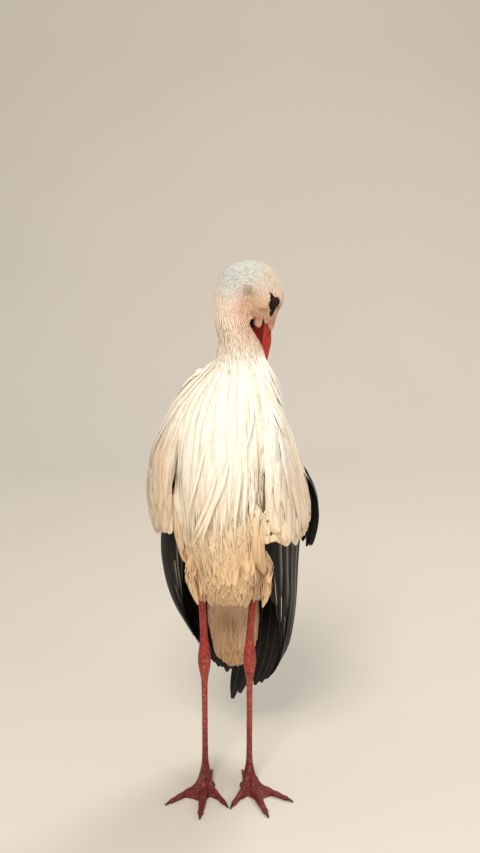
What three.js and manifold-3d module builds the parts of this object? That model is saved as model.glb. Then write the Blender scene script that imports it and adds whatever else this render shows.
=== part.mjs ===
// White stork (Ciconia ciconia), life size, standing upright and preening: the neck arches over
// to the bird's left and the bill hangs down behind it, to the feathers of the left shoulder.
// Millimetres, +Z up. The bird faces -Y, its left side is +X, and it stands on z = 0.
import * as THREE from "three";
import { mergeVertices } from "three/addons/utils/BufferGeometryUtils.js";
import Module from "manifold-3d";

const wasm = await Module();
wasm.setup();

// ---------------------------------------------------------------- driving dimensions
const GAP = 0.4; // clear distance between neighbouring solids
const SMOOTH = 0.25; // how far a cut surface may move when its slivers are taken out

// Trunk under its plumes. x is the middle, half the half width, front and back each face's y.
const TRUNK = [
  { z: 672, x: 8, half: 34, front: -52, back: 12 },
  { z: 650, x: 4, half: 48, front: -69, back: 36 },
  { z: 620, x: -4, half: 65, front: -86, back: 58 },
  { z: 580, x: -9, half: 74, front: -99, back: 78 },
  { z: 520, x: -10, half: 77, front: -107, back: 97 },
  { z: 460, x: -12, half: 71, front: -102, back: 107 },
  { z: 410, x: -15, half: 62, front: -90, back: 110 },
  { z: 370, x: -12, half: 57, front: -68, back: 110 },
  { z: 340, x: -9, half: 50, front: -40, back: 107 },
  { z: 318, x: -8, half: 40, front: -8, back: 102 },
];
// The long plumes of the lower neck and breast: how far they stand off the trunk, how far round
// it they reach at each height in degrees from the front, and the height of their tips from the
// right side (0) round the breast to the left side (1).
const PLUMES = { top: 662, clear: 4.7, edge: 0.6, deep: 4.5 };
const PLUME_SIDES = {
  right: [[414, -44], [460, -46], [500, -54], [545, -59], [590, -53], [662, -62]],
  left: [[480, 31], [570, 34], [612, 44], [662, 60]],
};
const PLUME_TIPS = [
  [0, 560],
  [0.13, 440],
  [0.24, 414],
  [0.4, 466],
  [0.55, 438],
  [0.7, 500],
  [0.85, 556],
  [1, 606],
];

// Tail with its coverts, down its middle line.
const TAIL = [
  { at: [-4, 58, 330], half: 36, above: 40, below: 34 },
  { at: [-3, 66, 290], half: 41, above: 34, below: 30 },
  { at: [-2, 80, 245], half: 42, above: 25, below: 22 },
  { at: [0, 93, 205], half: 38, above: 16, below: 14 },
  { at: [1, 104, 178], half: 30, above: 9, below: 8 },
  { at: [2, 111, 160], half: 17, above: 4, below: 3 },
];

// Neck from its root to the arch: middle line, half width and half depth. Then the arch, which
// bends round a middle at x and z, with each pair running from its start to its end in degrees.
const NECK = [
  { at: [8, -22, 656], wide: 41, deep: 36 },
  { at: [7, -21, 680], wide: 32.5, deep: 31 },
  { at: [1, -20, 702], wide: 25, deep: 28 },
  { at: [-5.5, -19, 722], wide: 23.5, deep: 26.5 },
  { at: [-7, -18, 741], wide: 23.3, deep: 26 },
];
const ARCH = {
  x: 18.5,
  z: 750.5,
  reach: 26.7,
  wide: 23.2,
  turn: [160, 10],
  y: [-17, -11],
  deep: [26, 25],
};
const NECK_CUTS = [0, 0.22, 0.44, 0.84]; // where the neck is parted, as shares of its line
const NECK_STEPS = 18; // rings along the whole neck

// Head: its long axis runs down and back to the bill, and its crown faces the bird's left.
const HEAD = { centre: [43.5, -12, 748], axis: [-0.09, 0.38, -0.92], crown: [1, 0, 0] };
const SKULL = [
  { along: -6, above: 24.5, below: 22.6, half: 24.5 },
  { along: 6, above: 23.5, below: 23.6, half: 24.5 },
  { along: 18, above: 19.5, below: 22, half: 21 },
  { along: 28, above: 15, below: 18, half: 15.5 },
  { along: 36, above: 11.5, below: 13, half: 10.5 },
];
const EYE = { along: -5, above: 7, out: 16.4, radius: 7.6 };
const HEAD_RING = 20; // points round the neck and head
const TRUNK_RING = 24; // points round the trunk
// The bill: drop is how far its gape lies below the head's axis at the root, lower how much of
// the upper mandible's length the lower one has, and tip the share of its size left at the end.
const BILL = { start: 31, length: 165, depth: 27, width: 21, drop: 2, lower: 0.985, tip: 0.13 };

// Wings: how the outer face runs round each side at a height, from a front edge over the
// outermost line to a back edge. Each point is [x, y]; x grows away from the bird's middle.
const COVERTS = {
  left: [
    { z: 634, front: [40, -44], outer: [54, -8], back: [48, 16] },
    { z: 604, front: [44, -76], outer: [63, 0], back: [48, 48] },
    { z: 569, front: [42, -96], outer: [75, 6], back: [43, 82] },
    { z: 533, front: [40, -102], outer: [88, 6], back: [22, 106] },
    { z: 500, front: [40, -103], outer: [98, 8], back: [10, 120] },
    { z: 460, front: [41, -99], outer: [105, 10], back: [7, 127] },
    { z: 414, front: [42, -90], outer: [105, 14], back: [4, 133] },
  ],
  right: [
    { z: 640, front: [44, -30], outer: [54, 4], back: [30, 40] },
    { z: 604, front: [66, -60], outer: [82, 6], back: [28, 72] },
    { z: 569, front: [78, -68], outer: [98, 8], back: [22, 94] },
    { z: 533, front: [84, -70], outer: [114, 8], back: [14, 110] },
    { z: 475, front: [84, -64], outer: [122, 12], back: [8, 125] },
    { z: 430, front: [80, -52], outer: [117, 18], back: [5, 131] },
    { z: 400, front: [78, -44], outer: [111, 22], back: [4, 135] },
  ],
};
const FLIGHTS = {
  left: [
    { z: 490, front: [40, -54], outer: [96, 18], back: [6, 110] },
    { z: 420, front: [38, -40], outer: [97, 26], back: [4, 126] },
    { z: 354, front: [42, -14], outer: [94, 42], back: [3, 139] },
    { z: 282, front: [50, 26], outer: [91, 62], back: [3, 145] },
    { z: 202, front: [52, 72], outer: [84, 92], back: [2, 148] },
    { z: 150, front: [44, 104], outer: [73, 118], back: [1, 150] },
    { z: 110, front: [30, 126], outer: [56, 134], back: [-5, 151] },
    { z: 70, front: [14, 140], outer: [34, 144], back: [-10, 152] },
  ],
  right: [
    { z: 490, front: [78, -40], outer: [110, 20], back: [6, 110] },
    { z: 420, front: [76, -30], outer: [107, 28], back: [4, 126] },
    { z: 354, front: [76, -2], outer: [106, 44], back: [3, 139] },
    { z: 282, front: [68, 36], outer: [93, 68], back: [3, 145] },
    { z: 202, front: [46, 82], outer: [65, 104], back: [2, 148] },
    { z: 150, front: [26, 112], outer: [46, 126], back: [2, 150] },
    { z: 110, front: [16, 134], outer: [30, 140], back: [3, 152] },
  ],
};
// Dark greater coverts outside each wing. They stand out furthest where they start, on the left.
const GREATER_TOP = [[0.5, 496], [0.6, 515], [0.75, 520], [0.86, 496]];
const GREATER = {
  left: { from: 0.5, to: 0.86, lift: 13.5, edge: [[0.5, 390], [0.6, 372], [0.75, 398], [0.86, 440]] },
  right: { from: 0.6, to: 0.86, lift: 5, edge: [[0.6, 404], [0.68, 386], [0.78, 402], [0.86, 440]] },
};
// Loose feathers that hang from each flank in front of the wing.
const FLANKS = {
  left: [
    { at: [28, -90, 480], half: 8, above: 6 },
    { at: [31, -86, 442], half: 12, above: 9 },
    { at: [33, -72, 405], half: 12, above: 9 },
    { at: [38, -52, 380], half: 8, above: 7 },
    { at: [43, -36, 362], half: 1.5, above: 1.5 },
  ],
  right: [
    { at: [-72, -54, 512], half: 5, above: 5 },
    { at: [-76, -52, 480], half: 9, above: 9 },
    { at: [-75, -46, 440], half: 9, above: 9 },
    { at: [-71, -38, 405], half: 6, above: 6 },
    { at: [-69, -32, 380], half: 1.5, above: 1.5 },
  ],
};
// Lower edges, as heights from the front edge (0) round to the back edge (1).
const COVERT_EDGE = {
  left: [[0, 430], [0.2, 421], [0.5, 424], [0.75, 470], [1, 440]],
  right: [[0, 452], [0.2, 425], [0.5, 416], [0.75, 466], [1, 440]],
};
const SECONDARY_EDGE = [[0.5, 330], [0.62, 262], [0.8, 214], [1, 196]];
const PRIMARY_EDGE = {
  left: [[0, 352], [0.12, 268], [0.3, 170], [0.5, 112], [0.7, 92], [0.9, 76], [1, 84]],
  right: [[0, 380], [0.12, 300], [0.3, 226], [0.5, 168], [0.7, 140], [0.9, 124], [1, 128]],
};
const FEATHER_STEP = 7; // how far neighbouring feather tips stand apart in height
const FLIGHTS_UNDER = 9; // how far the dark feathers run up under the coverts
const PRIMARIES_UNDER = 6.6; // how deep the primaries lie under the secondaries

const LEG = { y: 10, hock: 229, shankTop: 316, thighTop: 402, ankle: 15, deep: 1.22, web: 24 };
const LEGS = {
  right: { x: -44, knee: -47, hip: -42, toes: { outer: -48, middle: -4, inner: 31, hind: 168 } },
  left: { x: 22, knee: 27, hip: 31, toes: { outer: 56, middle: 18, inner: -25, hind: -166 } },
};
// Toes, as distances from the ankle: where each leaves the foot, and where its claw starts.
const TOES = {
  outer: { root: 25, length: 68, radius: 5.4 },
  middle: { root: 25, length: 78, radius: 6 },
  inner: { root: 25, length: 58, radius: 5.2 },
  hind: { root: 16, length: 37, radius: 4.4 },
};
const CLAW = 10; // length of each claw

// ---------------------------------------------------------------- geometry helpers
const vec = (p) => new THREE.Vector3(...p);
const lerp = THREE.MathUtils.lerp;
const clamp = THREE.MathUtils.clamp;
const X = vec([1, 0, 0]);
const Y = vec([0, 1, 0]);
const Z = vec([0, 0, 1]);

// A smooth function through [input, value] knots.
function track(knots) {
  const rows = [...knots].sort((a, b) => a[0] - b[0]);
  const slope = rows.map((row, i) => {
    const before = rows[Math.max(0, i - 1)];
    const after = rows[Math.min(rows.length - 1, i + 1)];
    return (after[1] - before[1]) / (after[0] - before[0]);
  });
  return (input) => {
    const x = clamp(input, rows[0][0], rows.at(-1)[0]);
    const i = Math.min(rows.length - 2, rows.findLastIndex((row) => row[0] <= x));
    const h = rows[i + 1][0] - rows[i][0];
    const t = (x - rows[i][0]) / h;
    return (
      (2 * t ** 3 - 3 * t ** 2 + 1) * rows[i][1] +
      (t ** 3 - 2 * t ** 2 + t) * h * slope[i] +
      (3 * t ** 2 - 2 * t ** 3) * rows[i + 1][1] +
      (t ** 3 - t ** 2) * h * slope[i + 1]
    );
  };
}

// Tracks of every number in rows, against the one named key.
function tracks(rows, key) {
  const names = Object.keys(rows[0]).filter((name) => name !== key);
  return Object.fromEntries(
    names.map((name) => {
      if (typeof rows[0][name] === "number")
        return [name, track(rows.map((row) => [row[key], row[name]]))];
      const [a, b] = [0, 1].map((i) => track(rows.map((row) => [row[key], row[name][i]])));
      return [name, (input) => [a(input), b(input)]];
    }),
  );
}

// One closed ring of points: a superellipse whose two halves may differ in height.
function ring({ centre, side, up, half, above, below = above }, count, power = 2.15) {
  const round = (v) => Math.sign(v) * Math.abs(v) ** (2 / power);
  return Array.from({ length: count }, (_, i) => {
    const angle = (2 * Math.PI * i) / count;
    const [c, s] = [round(Math.cos(angle)), round(Math.sin(angle))];
    return centre
      .clone()
      .addScaledVector(side, c * half)
      .addScaledVector(up, s * (s > 0 ? above : below));
  });
}

// A closed mesh through rings of equal length, with a fan at each end.
function loft(rings) {
  const count = rings[0].length;
  const points = rings.flat();
  const middle = (list) => list.reduce((sum, p) => sum.add(p), new THREE.Vector3()).divideScalar(count);
  const first = points.push(middle(rings[0])) - 1;
  const last = points.push(middle(rings.at(-1))) - 1;
  const end = (rings.length - 1) * count;
  const faces = [];
  for (let i = 0; i < count; i++) {
    const next = (i + 1) % count;
    for (let r = 0; r < end; r += count)
      faces.push(r + i, r + next, r + next + count, r + i, r + next + count, r + i + count);
    faces.push(first, next, i, last, end + i, end + next);
  }
  return facingOut(points, faces);
}

// A closed mesh between an outer and an inner sheet, each a function of (u, v) from 0 to 1.
function slab(outer, inner, across, along) {
  const row = across + 1;
  const layer = row * (along + 1);
  const points = [outer, inner].flatMap((sheet) =>
    Array.from({ length: layer }, (_, k) => sheet((k % row) / across, Math.floor(k / row) / along)),
  );
  const faces = [];
  const quad = (a, b, c, d) => faces.push(a, b, c, a, c, d);
  for (let j = 0; j < along; j++)
    for (let i = 0; i < across; i++) {
      const a = j * row + i;
      quad(a, a + 1, a + 1 + row, a + row);
      quad(layer + a, layer + a + row, layer + a + row + 1, layer + a + 1);
    }
  for (let i = 0; i < across; i++) {
    const end = along * row + i;
    quad(i + 1, i, layer + i, layer + i + 1);
    quad(end, end + 1, layer + end + 1, layer + end);
  }
  for (let j = 0; j < along; j++) {
    const [a, b] = [j * row, j * row + across];
    quad(a, a + row, layer + a + row, layer + a);
    quad(b + row, b, layer + b, layer + b + row);
  }
  return facingOut(points, faces);
}

// A mesh of these points and faces, turned so that its faces point out.
function facingOut(points, faces) {
  const corner = new THREE.Vector3();
  let volume = 0;
  for (let i = 0; i < faces.length; i += 3)
    volume += points[faces[i]].dot(corner.crossVectors(points[faces[i + 1]], points[faces[i + 2]]));
  if (volume < 0) faces.reverse();
  return new THREE.BufferGeometry().setFromPoints(points).setIndex(faces);
}

// Rings square to the middle line of rows, with their width kept along one direction.
function alongLine(rows, width, count, power) {
  const line = new THREE.CatmullRomCurve3(rows.map((row) => vec(row.at)));
  return rows.map((row, i) => {
    const forward = line.getTangent(i / (rows.length - 1));
    const up = new THREE.Vector3().crossVectors(forward, width).normalize();
    const side = new THREE.Vector3().crossVectors(up, forward).normalize();
    return ring({ centre: vec(row.at), side, up, ...row }, count, power);
  });
}

// ---------------------------------------------------------------- cutting
function solid(geometry) {
  const bare = new THREE.BufferGeometry();
  bare.setAttribute("position", geometry.getAttribute("position"));
  bare.setIndex(geometry.getIndex());
  const merged = mergeVertices(bare, 1e-3);
  const vertProperties = merged.attributes.position.array;
  const triVerts = new Uint32Array(merged.index.array);
  return new wasm.Manifold(new wasm.Mesh({ numProp: 3, vertProperties, triVerts }));
}

// The largest body of a solid, without the slivers that cuts leave.
function geometryOf(made) {
  const bodies = made.decompose().sort((a, b) => b.volume() - a.volume());
  const { vertProperties, triVerts } = bodies[0].simplify(SMOOTH).getMesh();
  const geometry = new THREE.BufferGeometry();
  geometry.setAttribute("position", new THREE.BufferAttribute(vertProperties, 3));
  return geometry.setIndex(new THREE.BufferAttribute(triVerts, 1));
}

const less = (made, tools) => tools.reduce((left, tool) => left.subtract(tool), made);
const cut = (geometry, ...tools) => geometryOf(less(solid(geometry), tools));

// ---------------------------------------------------------------- materials
const finish = (color, roughness) => new THREE.MeshStandardMaterial({ color, roughness });
const WHITE = finish(0xf2eadb, 0.85);
const CREAM = finish(0xe3cfae, 0.88);
const BLACK = finish(0x17151a, 0.45);
const RED = finish(0xc22a1c, 0.42);
const DARK_RED = finish(0x9c2c25, 0.6);
const EYE_DARK = finish(0x140d0a, 0.12);
const HORN = finish(0x2a1a16, 0.5);

const stork = new THREE.Group();
function add(name, geometry, material) {
  const mesh = new THREE.Mesh(geometry, material);
  mesh.name = name;
  stork.add(mesh);
}

// ---------------------------------------------------------------- trunk and tail
const trunkAt = tracks(TRUNK, "z");

// The trunk's ring at a height, grown outwards.
function trunkRing(z, grow, count) {
  const [front, back] = [trunkAt.front(z) - grow, trunkAt.back(z) + grow];
  const centre = vec([trunkAt.x(z), (front + back) / 2, z]);
  const size = { half: trunkAt.half(z) + grow, above: (back - front) / 2 };
  return ring({ centre, side: X, up: Y, ...size }, count);
}

function trunk(grow = 0) {
  const steps = 14;
  const heights = Array.from({ length: steps + 1 }, (_, i) =>
    lerp(TRUNK[0].z + grow, TRUNK.at(-1).z - grow, i / steps),
  );
  return loft(heights.map((z) => trunkRing(z, grow, TRUNK_RING)));
}

// A sheet of plumes over the breast, which ends below in long uneven tips.
function plumes() {
  const { top, clear, edge, deep } = PLUMES;
  const [tips, right, left] = [PLUME_TIPS, PLUME_SIDES.right, PLUME_SIDES.left].map(track);
  const degrees = 360;
  const front = 270;
  const sheet = (out) => (u, v) => {
    const z = lerp(top, tips(u), v);
    const spot = front + Math.round(lerp(right(z), left(z), u));
    return trunkRing(z, out(u, v), degrees)[spot];
  };
  const swell = (u, v) => deep * Math.sin(Math.PI * clamp(u, 0.06, 0.94)) ** 0.5 * Math.cos(1.3 * v);
  return slab(sheet((u, v) => clear + edge + swell(u, v)), sheet(() => clear), 10, 6);
}

const tail = () => loft(alongLine(TAIL, X, 18, 2.3));

// ---------------------------------------------------------------- neck and head
const archSteps = 5;
const neckRows = [...NECK, ...Array.from({ length: archSteps + 1 }, (_, i) => archRow(i / archSteps))];
const neckLine = new THREE.CatmullRomCurve3(neckRows.map((row) => vec(row.at)), false, "centripetal");
const neckAt = tracks(neckRows.map(({ wide, deep }, place) => ({ place, wide, deep })), "place");

function archRow(t) {
  const turn = THREE.MathUtils.degToRad(lerp(...ARCH.turn, t));
  const [x, z] = [ARCH.x + ARCH.reach * Math.cos(turn), ARCH.z + ARCH.reach * Math.sin(turn)];
  return { at: [x, lerp(...ARCH.y, t), z], wide: ARCH.wide, deep: lerp(...ARCH.deep, t) };
}

function neckRing(share) {
  const t = neckLine.getUtoTmapping(share);
  const place = t * (neckRows.length - 1);
  const forward = neckLine.getTangent(t);
  const side = new THREE.Vector3().crossVectors(Y, forward).normalize();
  const up = new THREE.Vector3().crossVectors(forward, side).normalize();
  const size = { half: neckAt.wide(place), above: neckAt.deep(place) };
  return ring({ centre: neckLine.getPoint(t), side, up, ...size }, HEAD_RING, 2);
}

// One length of the neck, between two shares of its line.
function neckLength(from, to) {
  const steps = Math.ceil((to - from) * NECK_STEPS);
  const short = GAP / neckLine.getLength();
  return loft(Array.from({ length: steps + 1 }, (_, i) => neckRing(lerp(from, to - short, i / steps))));
}

const headAxis = vec(HEAD.axis).normalize();
const headUp = vec(HEAD.crown).addScaledVector(headAxis, -vec(HEAD.crown).dot(headAxis)).normalize();
const headLeft = new THREE.Vector3().crossVectors(headUp, headAxis);
const headPoint = (along, up, left) =>
  vec(HEAD.centre)
    .addScaledVector(headAxis, along)
    .addScaledVector(headUp, up)
    .addScaledVector(headLeft, left);

// The head grows out of the neck's last ring, and narrows to the root of the bill.
function skull() {
  const at = tracks(SKULL, "along");
  const steps = 7;
  const quarter = HEAD_RING / 4;
  const rings = Array.from({ length: steps + 1 }, (_, i) => {
    const along = lerp(SKULL[0].along, SKULL.at(-1).along, i / steps);
    const size = { half: at.half(along), above: at.above(along), below: at.below(along) };
    const centre = headPoint(along, 0, 0);
    const points = ring({ centre, side: headLeft, up: headUp, ...size }, HEAD_RING, 2.1);
    return [...points.slice(-quarter), ...points.slice(0, -quarter)];
  });
  const nape = neckRing(NECK_CUTS.at(-1));
  const bend = [0, 0.25, 0.5, 0.75].map((t) => nape.map((point, i) => aroundArch(point, rings[0][i], t)));
  return loft([...bend, ...rings]);
}

// A point t of the way from a to b, swung round the middle of the arch.
function aroundArch(a, b, t) {
  const [from, to] = [a, b].map((p) => new THREE.Vector2(p.x - ARCH.x, p.z - ARCH.z));
  const turnOf = ({ x, y }) => Math.atan2(y, x);
  const reach = lerp(from.length(), to.length(), t);
  const turn = lerp(turnOf(from), turnOf(to), t);
  return vec([ARCH.x + reach * Math.cos(turn), lerp(a.y, b.y, t), ARCH.z + reach * Math.sin(turn)]);
}

function eye(side, grow = 0) {
  const ball = new THREE.SphereGeometry(EYE.radius + grow, 10, 6);
  const place = headPoint(EYE.along, EYE.above, side * EYE.out);
  return ball.translate(...place.toArray());
}

// One mandible: way is 1 for the upper one and -1 for the lower one.
function mandible(way, grow = 0) {
  const steps = 8;
  const length = BILL.length * (way > 0 ? 1 : BILL.lower);
  return loft(
    Array.from({ length: steps + 1 }, (_, i) => {
      const t = i / steps;
      const size = lerp(BILL.tip, 1, 1 - t ** 1.15);
      const along = BILL.start + length * t + (t < 0.5 ? -grow : grow);
      const rise = way * (GAP / 2) - BILL.drop * (1 - t);
      return ring(
        {
          centre: headPoint(along, rise, 0),
          side: headLeft,
          up: headUp.clone().multiplyScalar(way),
          half: size * (BILL.width / 2) + grow,
          above: size * (BILL.depth / 2) + grow,
          below: grow || 0.01,
        },
        10,
        1.9,
      );
    }),
  );
}

function addNeckAndHead(trunkTool, billTools) {
  const eyeTools = [1, -1].map((side) => solid(eye(side, GAP)));
  add("head", cut(skull(), ...eyeTools, ...billTools), WHITE);
  ["neck_lower", "neck_middle", "neck_upper"].forEach((name, i) => {
    add(name, cut(neckLength(NECK_CUTS[i], NECK_CUTS[i + 1]), trunkTool), WHITE);
  });
  add("eye_left", eye(1), EYE_DARK);
  add("eye_right", eye(-1), EYE_DARK);
  add("bill_upper", mandible(1), RED);
  add("bill_lower", mandible(-1), RED);
}

// ---------------------------------------------------------------- wings
// A point on a wing's face, u of the way round from its front edge to its back edge, moved
// inwards by depth.
function wingPoint(face, side, u, z, depth) {
  const [front, outer, back] = [face.front(z), face.outer(z), face.back(z)];
  const end = u < 0.5 ? front : back;
  const angle = Math.abs(1 - 2 * u) * (Math.PI / 2);
  const [c, s] = [Math.cos(angle), Math.sin(angle)];
  const [wide, long] = [outer[0] - end[0], end[1] - outer[1]];
  const inwards = new THREE.Vector2(-c * Math.abs(long), -s * wide * Math.sign(long)).normalize();
  const x = end[0] + wide * c + inwards.x * depth;
  return vec([side * x, outer[1] + long * s + inwards.y * depth, z]);
}

// A piece of wing between two places round it, from a top to a lower edge with feather tips.
function wingPiece({ face, side, from, to, top, edge, outer, inner, across, along, step }) {
  const sheet = (depth) => (a, v) => {
    const u = lerp(from, to, a);
    const tip = step * (Math.round(a * across) % 2 ? 0.5 : -0.5);
    const z = lerp(top(u), edge(u) + tip * v, v);
    return wingPoint(face, side, u, z, depth(u, v));
  };
  return slab(sheet(outer), sheet(inner), across, along);
}

function addWing(name, side, trunkTool, bodyTools) {
  const cover = tracks(COVERTS[name], "z");
  const flight = tracks(FLIGHTS[name], "z");
  const covertEdge = track(COVERT_EDGE[name]);
  const top = (u) => covertEdge(u) + FLIGHTS_UNDER;
  const middling = (u) => Math.sin(Math.PI * clamp(u, 0.02, 0.98));
  const under = (u) => PRIMARIES_UNDER * THREE.MathUtils.smoothstep(u, 0.41, 0.48);
  const coverts = wingPiece({
    face: cover,
    side,
    from: 0,
    to: 1,
    top: () => COVERTS[name][0].z,
    edge: covertEdge,
    outer: () => 0,
    inner: (u, v) => 3.5 + 17 * middling(u) * Math.sin(Math.PI * Math.min(1, 0.1 + 1.04 * v)),
    across: 14,
    along: 7,
    step: FEATHER_STEP,
  });
  const secondaries = wingPiece({
    face: flight,
    side,
    from: 0.5,
    to: 0.99,
    top,
    edge: track(SECONDARY_EDGE),
    outer: () => 0,
    inner: (u, v) => 6 - 3 * v,
    across: 8,
    along: 5,
    step: FEATHER_STEP * 1.5,
  });
  const primaries = wingPiece({
    face: flight,
    side,
    from: 0,
    to: 0.97,
    top,
    edge: track(PRIMARY_EDGE[name]),
    outer: under,
    inner: (u, v) => under(u) + 7 - 4 * v,
    across: 12,
    along: 7,
    step: FEATHER_STEP * 2,
  });
  const { from, to, lift, edge } = GREATER[name];
  const stand = (u, v) => {
    const along = (u - from) / (to - from);
    return lift * (1 - 0.6 * along) * Math.sin(Math.PI * (0.03 + 0.87 * v ** 1.25));
  };
  const greater = wingPiece({
    face: cover,
    side,
    from,
    to,
    top: track(GREATER_TOP),
    edge: track(edge),
    outer: (u, v) => -3 - stand(u, v),
    inner: () => -1.8,
    across: 6,
    along: 6,
    step: FEATHER_STEP,
  });
  add(`wing_${name}_coverts`, cut(coverts, trunkTool), WHITE);
  add(`wing_${name}_greater`, greater, BLACK);
  add(`wing_${name}_secondaries`, secondaries, BLACK);
  add(`wing_${name}_primaries`, cut(primaries, ...bodyTools), BLACK);
  const flank = loft(alongLine(FLANKS[name], X, 12, 2));
  add(`flank_${name}`, cut(flank, trunkTool, grown(solid(coverts))), CREAM);
}

// A solid made larger by moving six copies of it by the gap and joining them.
function grown(made) {
  const moves = [X, Y, Z].flatMap((axis) => [GAP, -GAP].map((d) => axis.clone().multiplyScalar(d)));
  return moves.reduce((sum, move) => sum.add(made.translate(move.toArray())), made);
}

// ---------------------------------------------------------------- legs and feet
function thigh({ x, knee, hip }) {
  const rows = [
    { at: [hip, LEG.y - 12, LEG.thighTop], half: 24, above: 38, below: 24 },
    { at: [hip, LEG.y - 9, 374], half: 31, above: 40, below: 28 },
    { at: [hip, LEG.y - 7, 350], half: 25, above: 30, below: 24 },
    { at: [lerp(knee, hip, 0.5), LEG.y - 6, 330], half: 17, above: 20, below: 18 },
    { at: [knee, LEG.y - 4, 315], half: 10.5, above: 12.5, below: 11 },
    { at: [lerp(knee, x, 0.1), LEG.y - 3, 304], half: 7.2, above: 8, below: 8 },
  ];
  return loft(alongLine(rows, X, 12, 2));
}

function shank({ x, knee }, grow = 0) {
  const rows = [
    [0, LEG.shankTop, 5.6],
    [0.4, 280, 5.6],
    [0.75, 255, 6.2],
    [0.92, 242, 8.4],
    [1, LEG.hock + 3 * GAP, 9.3],
  ];
  const line = rows.map(([t, z, r]) => {
    const at = [lerp(knee, x, t), LEG.y + lerp(-4, 2, t), z];
    return { at, half: r + grow, above: 1.12 * r + grow };
  });
  return loft(alongLine(line, X, 10, 2));
}

function tarsus({ x }) {
  const rows = [
    [LEG.hock, 9.4],
    [217, 9.4],
    [203, 6.6],
    [186, 4.8],
    [110, 4.4],
    [50, 4.8],
    [34, 6.4],
    [24, 8.6],
    [LEG.ankle, 10.6],
  ];
  const deepest = 9.4 * LEG.deep;
  const size = (r) => ({ side: X, up: Y, half: r, above: Math.min(r * LEG.deep, deepest) });
  return loft(rows.map(([z, r]) => ring({ centre: vec([x, LEG.y, z]), ...size(r) }, 10, 2)));
}

// A toe or claw lying along the floor: rows of [distance out, height, radius], flat underneath.
function lying({ x }, turn, rows, count) {
  const angle = THREE.MathUtils.degToRad(turn);
  const out = vec([Math.sin(angle), -Math.cos(angle), 0]);
  const side = vec([Math.cos(angle), Math.sin(angle), 0]);
  return loft(
    rows.map(([distance, height, radius]) => {
      const centre = vec([x, LEG.y, height]).addScaledVector(out, distance);
      const points = ring({ centre, side, up: Z, half: radius, above: radius * 0.9 }, count, 2);
      return points.map((p) => p.setZ(Math.max(0, p.z)));
    }),
  );
}

function toeRoot(leg, turn, { root, radius: r }) {
  const rows = [
    [1, LEG.ankle / 2, r * 1.1],
    [root / 2, r * 1.25, r * 1.1],
    [root - GAP, r * 0.8, r],
  ];
  return lying(leg, turn, rows, 6);
}

function toe(leg, turn, { root, length, radius: r }) {
  const joints = [
    [0, 0.8, 1],
    [0.22, 0.72, 0.84],
    [0.42, 0.8, 0.96],
    [0.58, 0.66, 0.76],
    [0.8, 0.72, 0.84],
    [1, 0.6, 0.58],
  ];
  const rows = joints.map(([t, high, wide]) => [lerp(root, length, t), r * high, r * wide]);
  return lying(leg, turn, rows, 8);
}

function claw(leg, turn, { length, radius: r }) {
  const tapers = [
    [0, 0.64, 0.52],
    [0.6, 0.6, 0.34],
    [1, 0.24, 0.08],
  ];
  const rows = tapers.map(([t, high, wide]) => [length + GAP + CLAW * t, r * high, r * wide]);
  return lying(leg, turn, rows, 6);
}

// The foot under the ankle: the skin between the front toes, and the roots of all four toes.
function foot(leg) {
  const { x, toes } = leg;
  const [low, high] = [toes.outer, toes.inner].sort((a, b) => a - b);
  const reach = (turn) => {
    const outside = Math.max(low - turn, turn - high, 0);
    return lerp(LEG.web, LEG.ankle - 2, Math.min(1, outside / 40));
  };
  const count = 12;
  const rim = (scale, z) =>
    Array.from({ length: count }, (_, i) => {
      const turn = -180 + (360 * i) / count;
      const [angle, out] = [THREE.MathUtils.degToRad(turn), reach(turn) * scale];
      return vec([x + Math.sin(angle) * out, LEG.y - Math.cos(angle) * out, z]);
    });
  const web = loft([rim(0.96, 0), rim(1, 1.2), rim(0.75, 4.5), rim(0.55, LEG.ankle - GAP)]);
  const roots = Object.keys(TOES).map((toeName) => solid(toeRoot(leg, toes[toeName], TOES[toeName])));
  return geometryOf(roots.reduce((sum, root) => sum.add(root), solid(web)));
}

function addLeg(name, leg, trunkTool) {
  add(`thigh_${name}`, cut(thigh(leg), trunkTool, solid(shank(leg, GAP))), CREAM);
  add(`shank_${name}`, shank(leg), RED);
  add(`tarsus_${name}`, tarsus(leg), RED);
  add(`foot_${name}`, foot(leg), DARK_RED);
  for (const [toeName, shape] of Object.entries(TOES)) {
    add(`toe_${name}_${toeName}`, toe(leg, leg.toes[toeName], shape), DARK_RED);
    add(`claw_${name}_${toeName}`, claw(leg, leg.toes[toeName], shape), HORN);
  }
}

// ---------------------------------------------------------------- the bird
const trunkTool = solid(trunk(GAP));
const billTools = [1, -1].map((way) => solid(mandible(way, GAP)));
const thighTools = Object.values(LEGS).map((leg) => grown(solid(thigh(leg))));
const bodyTools = [trunkTool, grown(solid(tail())), ...thighTools];
add("trunk", cut(trunk(), ...billTools), WHITE);
add("tail", cut(tail(), trunkTool), CREAM);
addNeckAndHead(trunkTool, billTools);
addWing("left", 1, trunkTool, bodyTools);
addWing("right", -1, trunkTool, bodyTools);
add("breast_plumes", plumes(), WHITE);
for (const [name, leg] of Object.entries(LEGS)) addLeg(name, leg, trunkTool);

// The origin is on the floor, under the middle of the bird's box.
const middle = new THREE.Box3().setFromObject(stork).getCenter(new THREE.Vector3());
stork.position.set(-middle.x, -middle.y, 0);

export default stork;
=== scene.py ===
"""White stork, life size: skin, feathers, bill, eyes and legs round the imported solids.

Metres, in the frame's own axes: the bird faces -Y, its left is +X and it stands on z = 0.
Small sizes are written in millimetres and turned into metres by MM or by at().
"""
import math
import random

import bmesh
import bpy
import numpy as np
from mathutils import Matrix, Vector, noise
from mathutils.bvhtree import BVHTree


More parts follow.
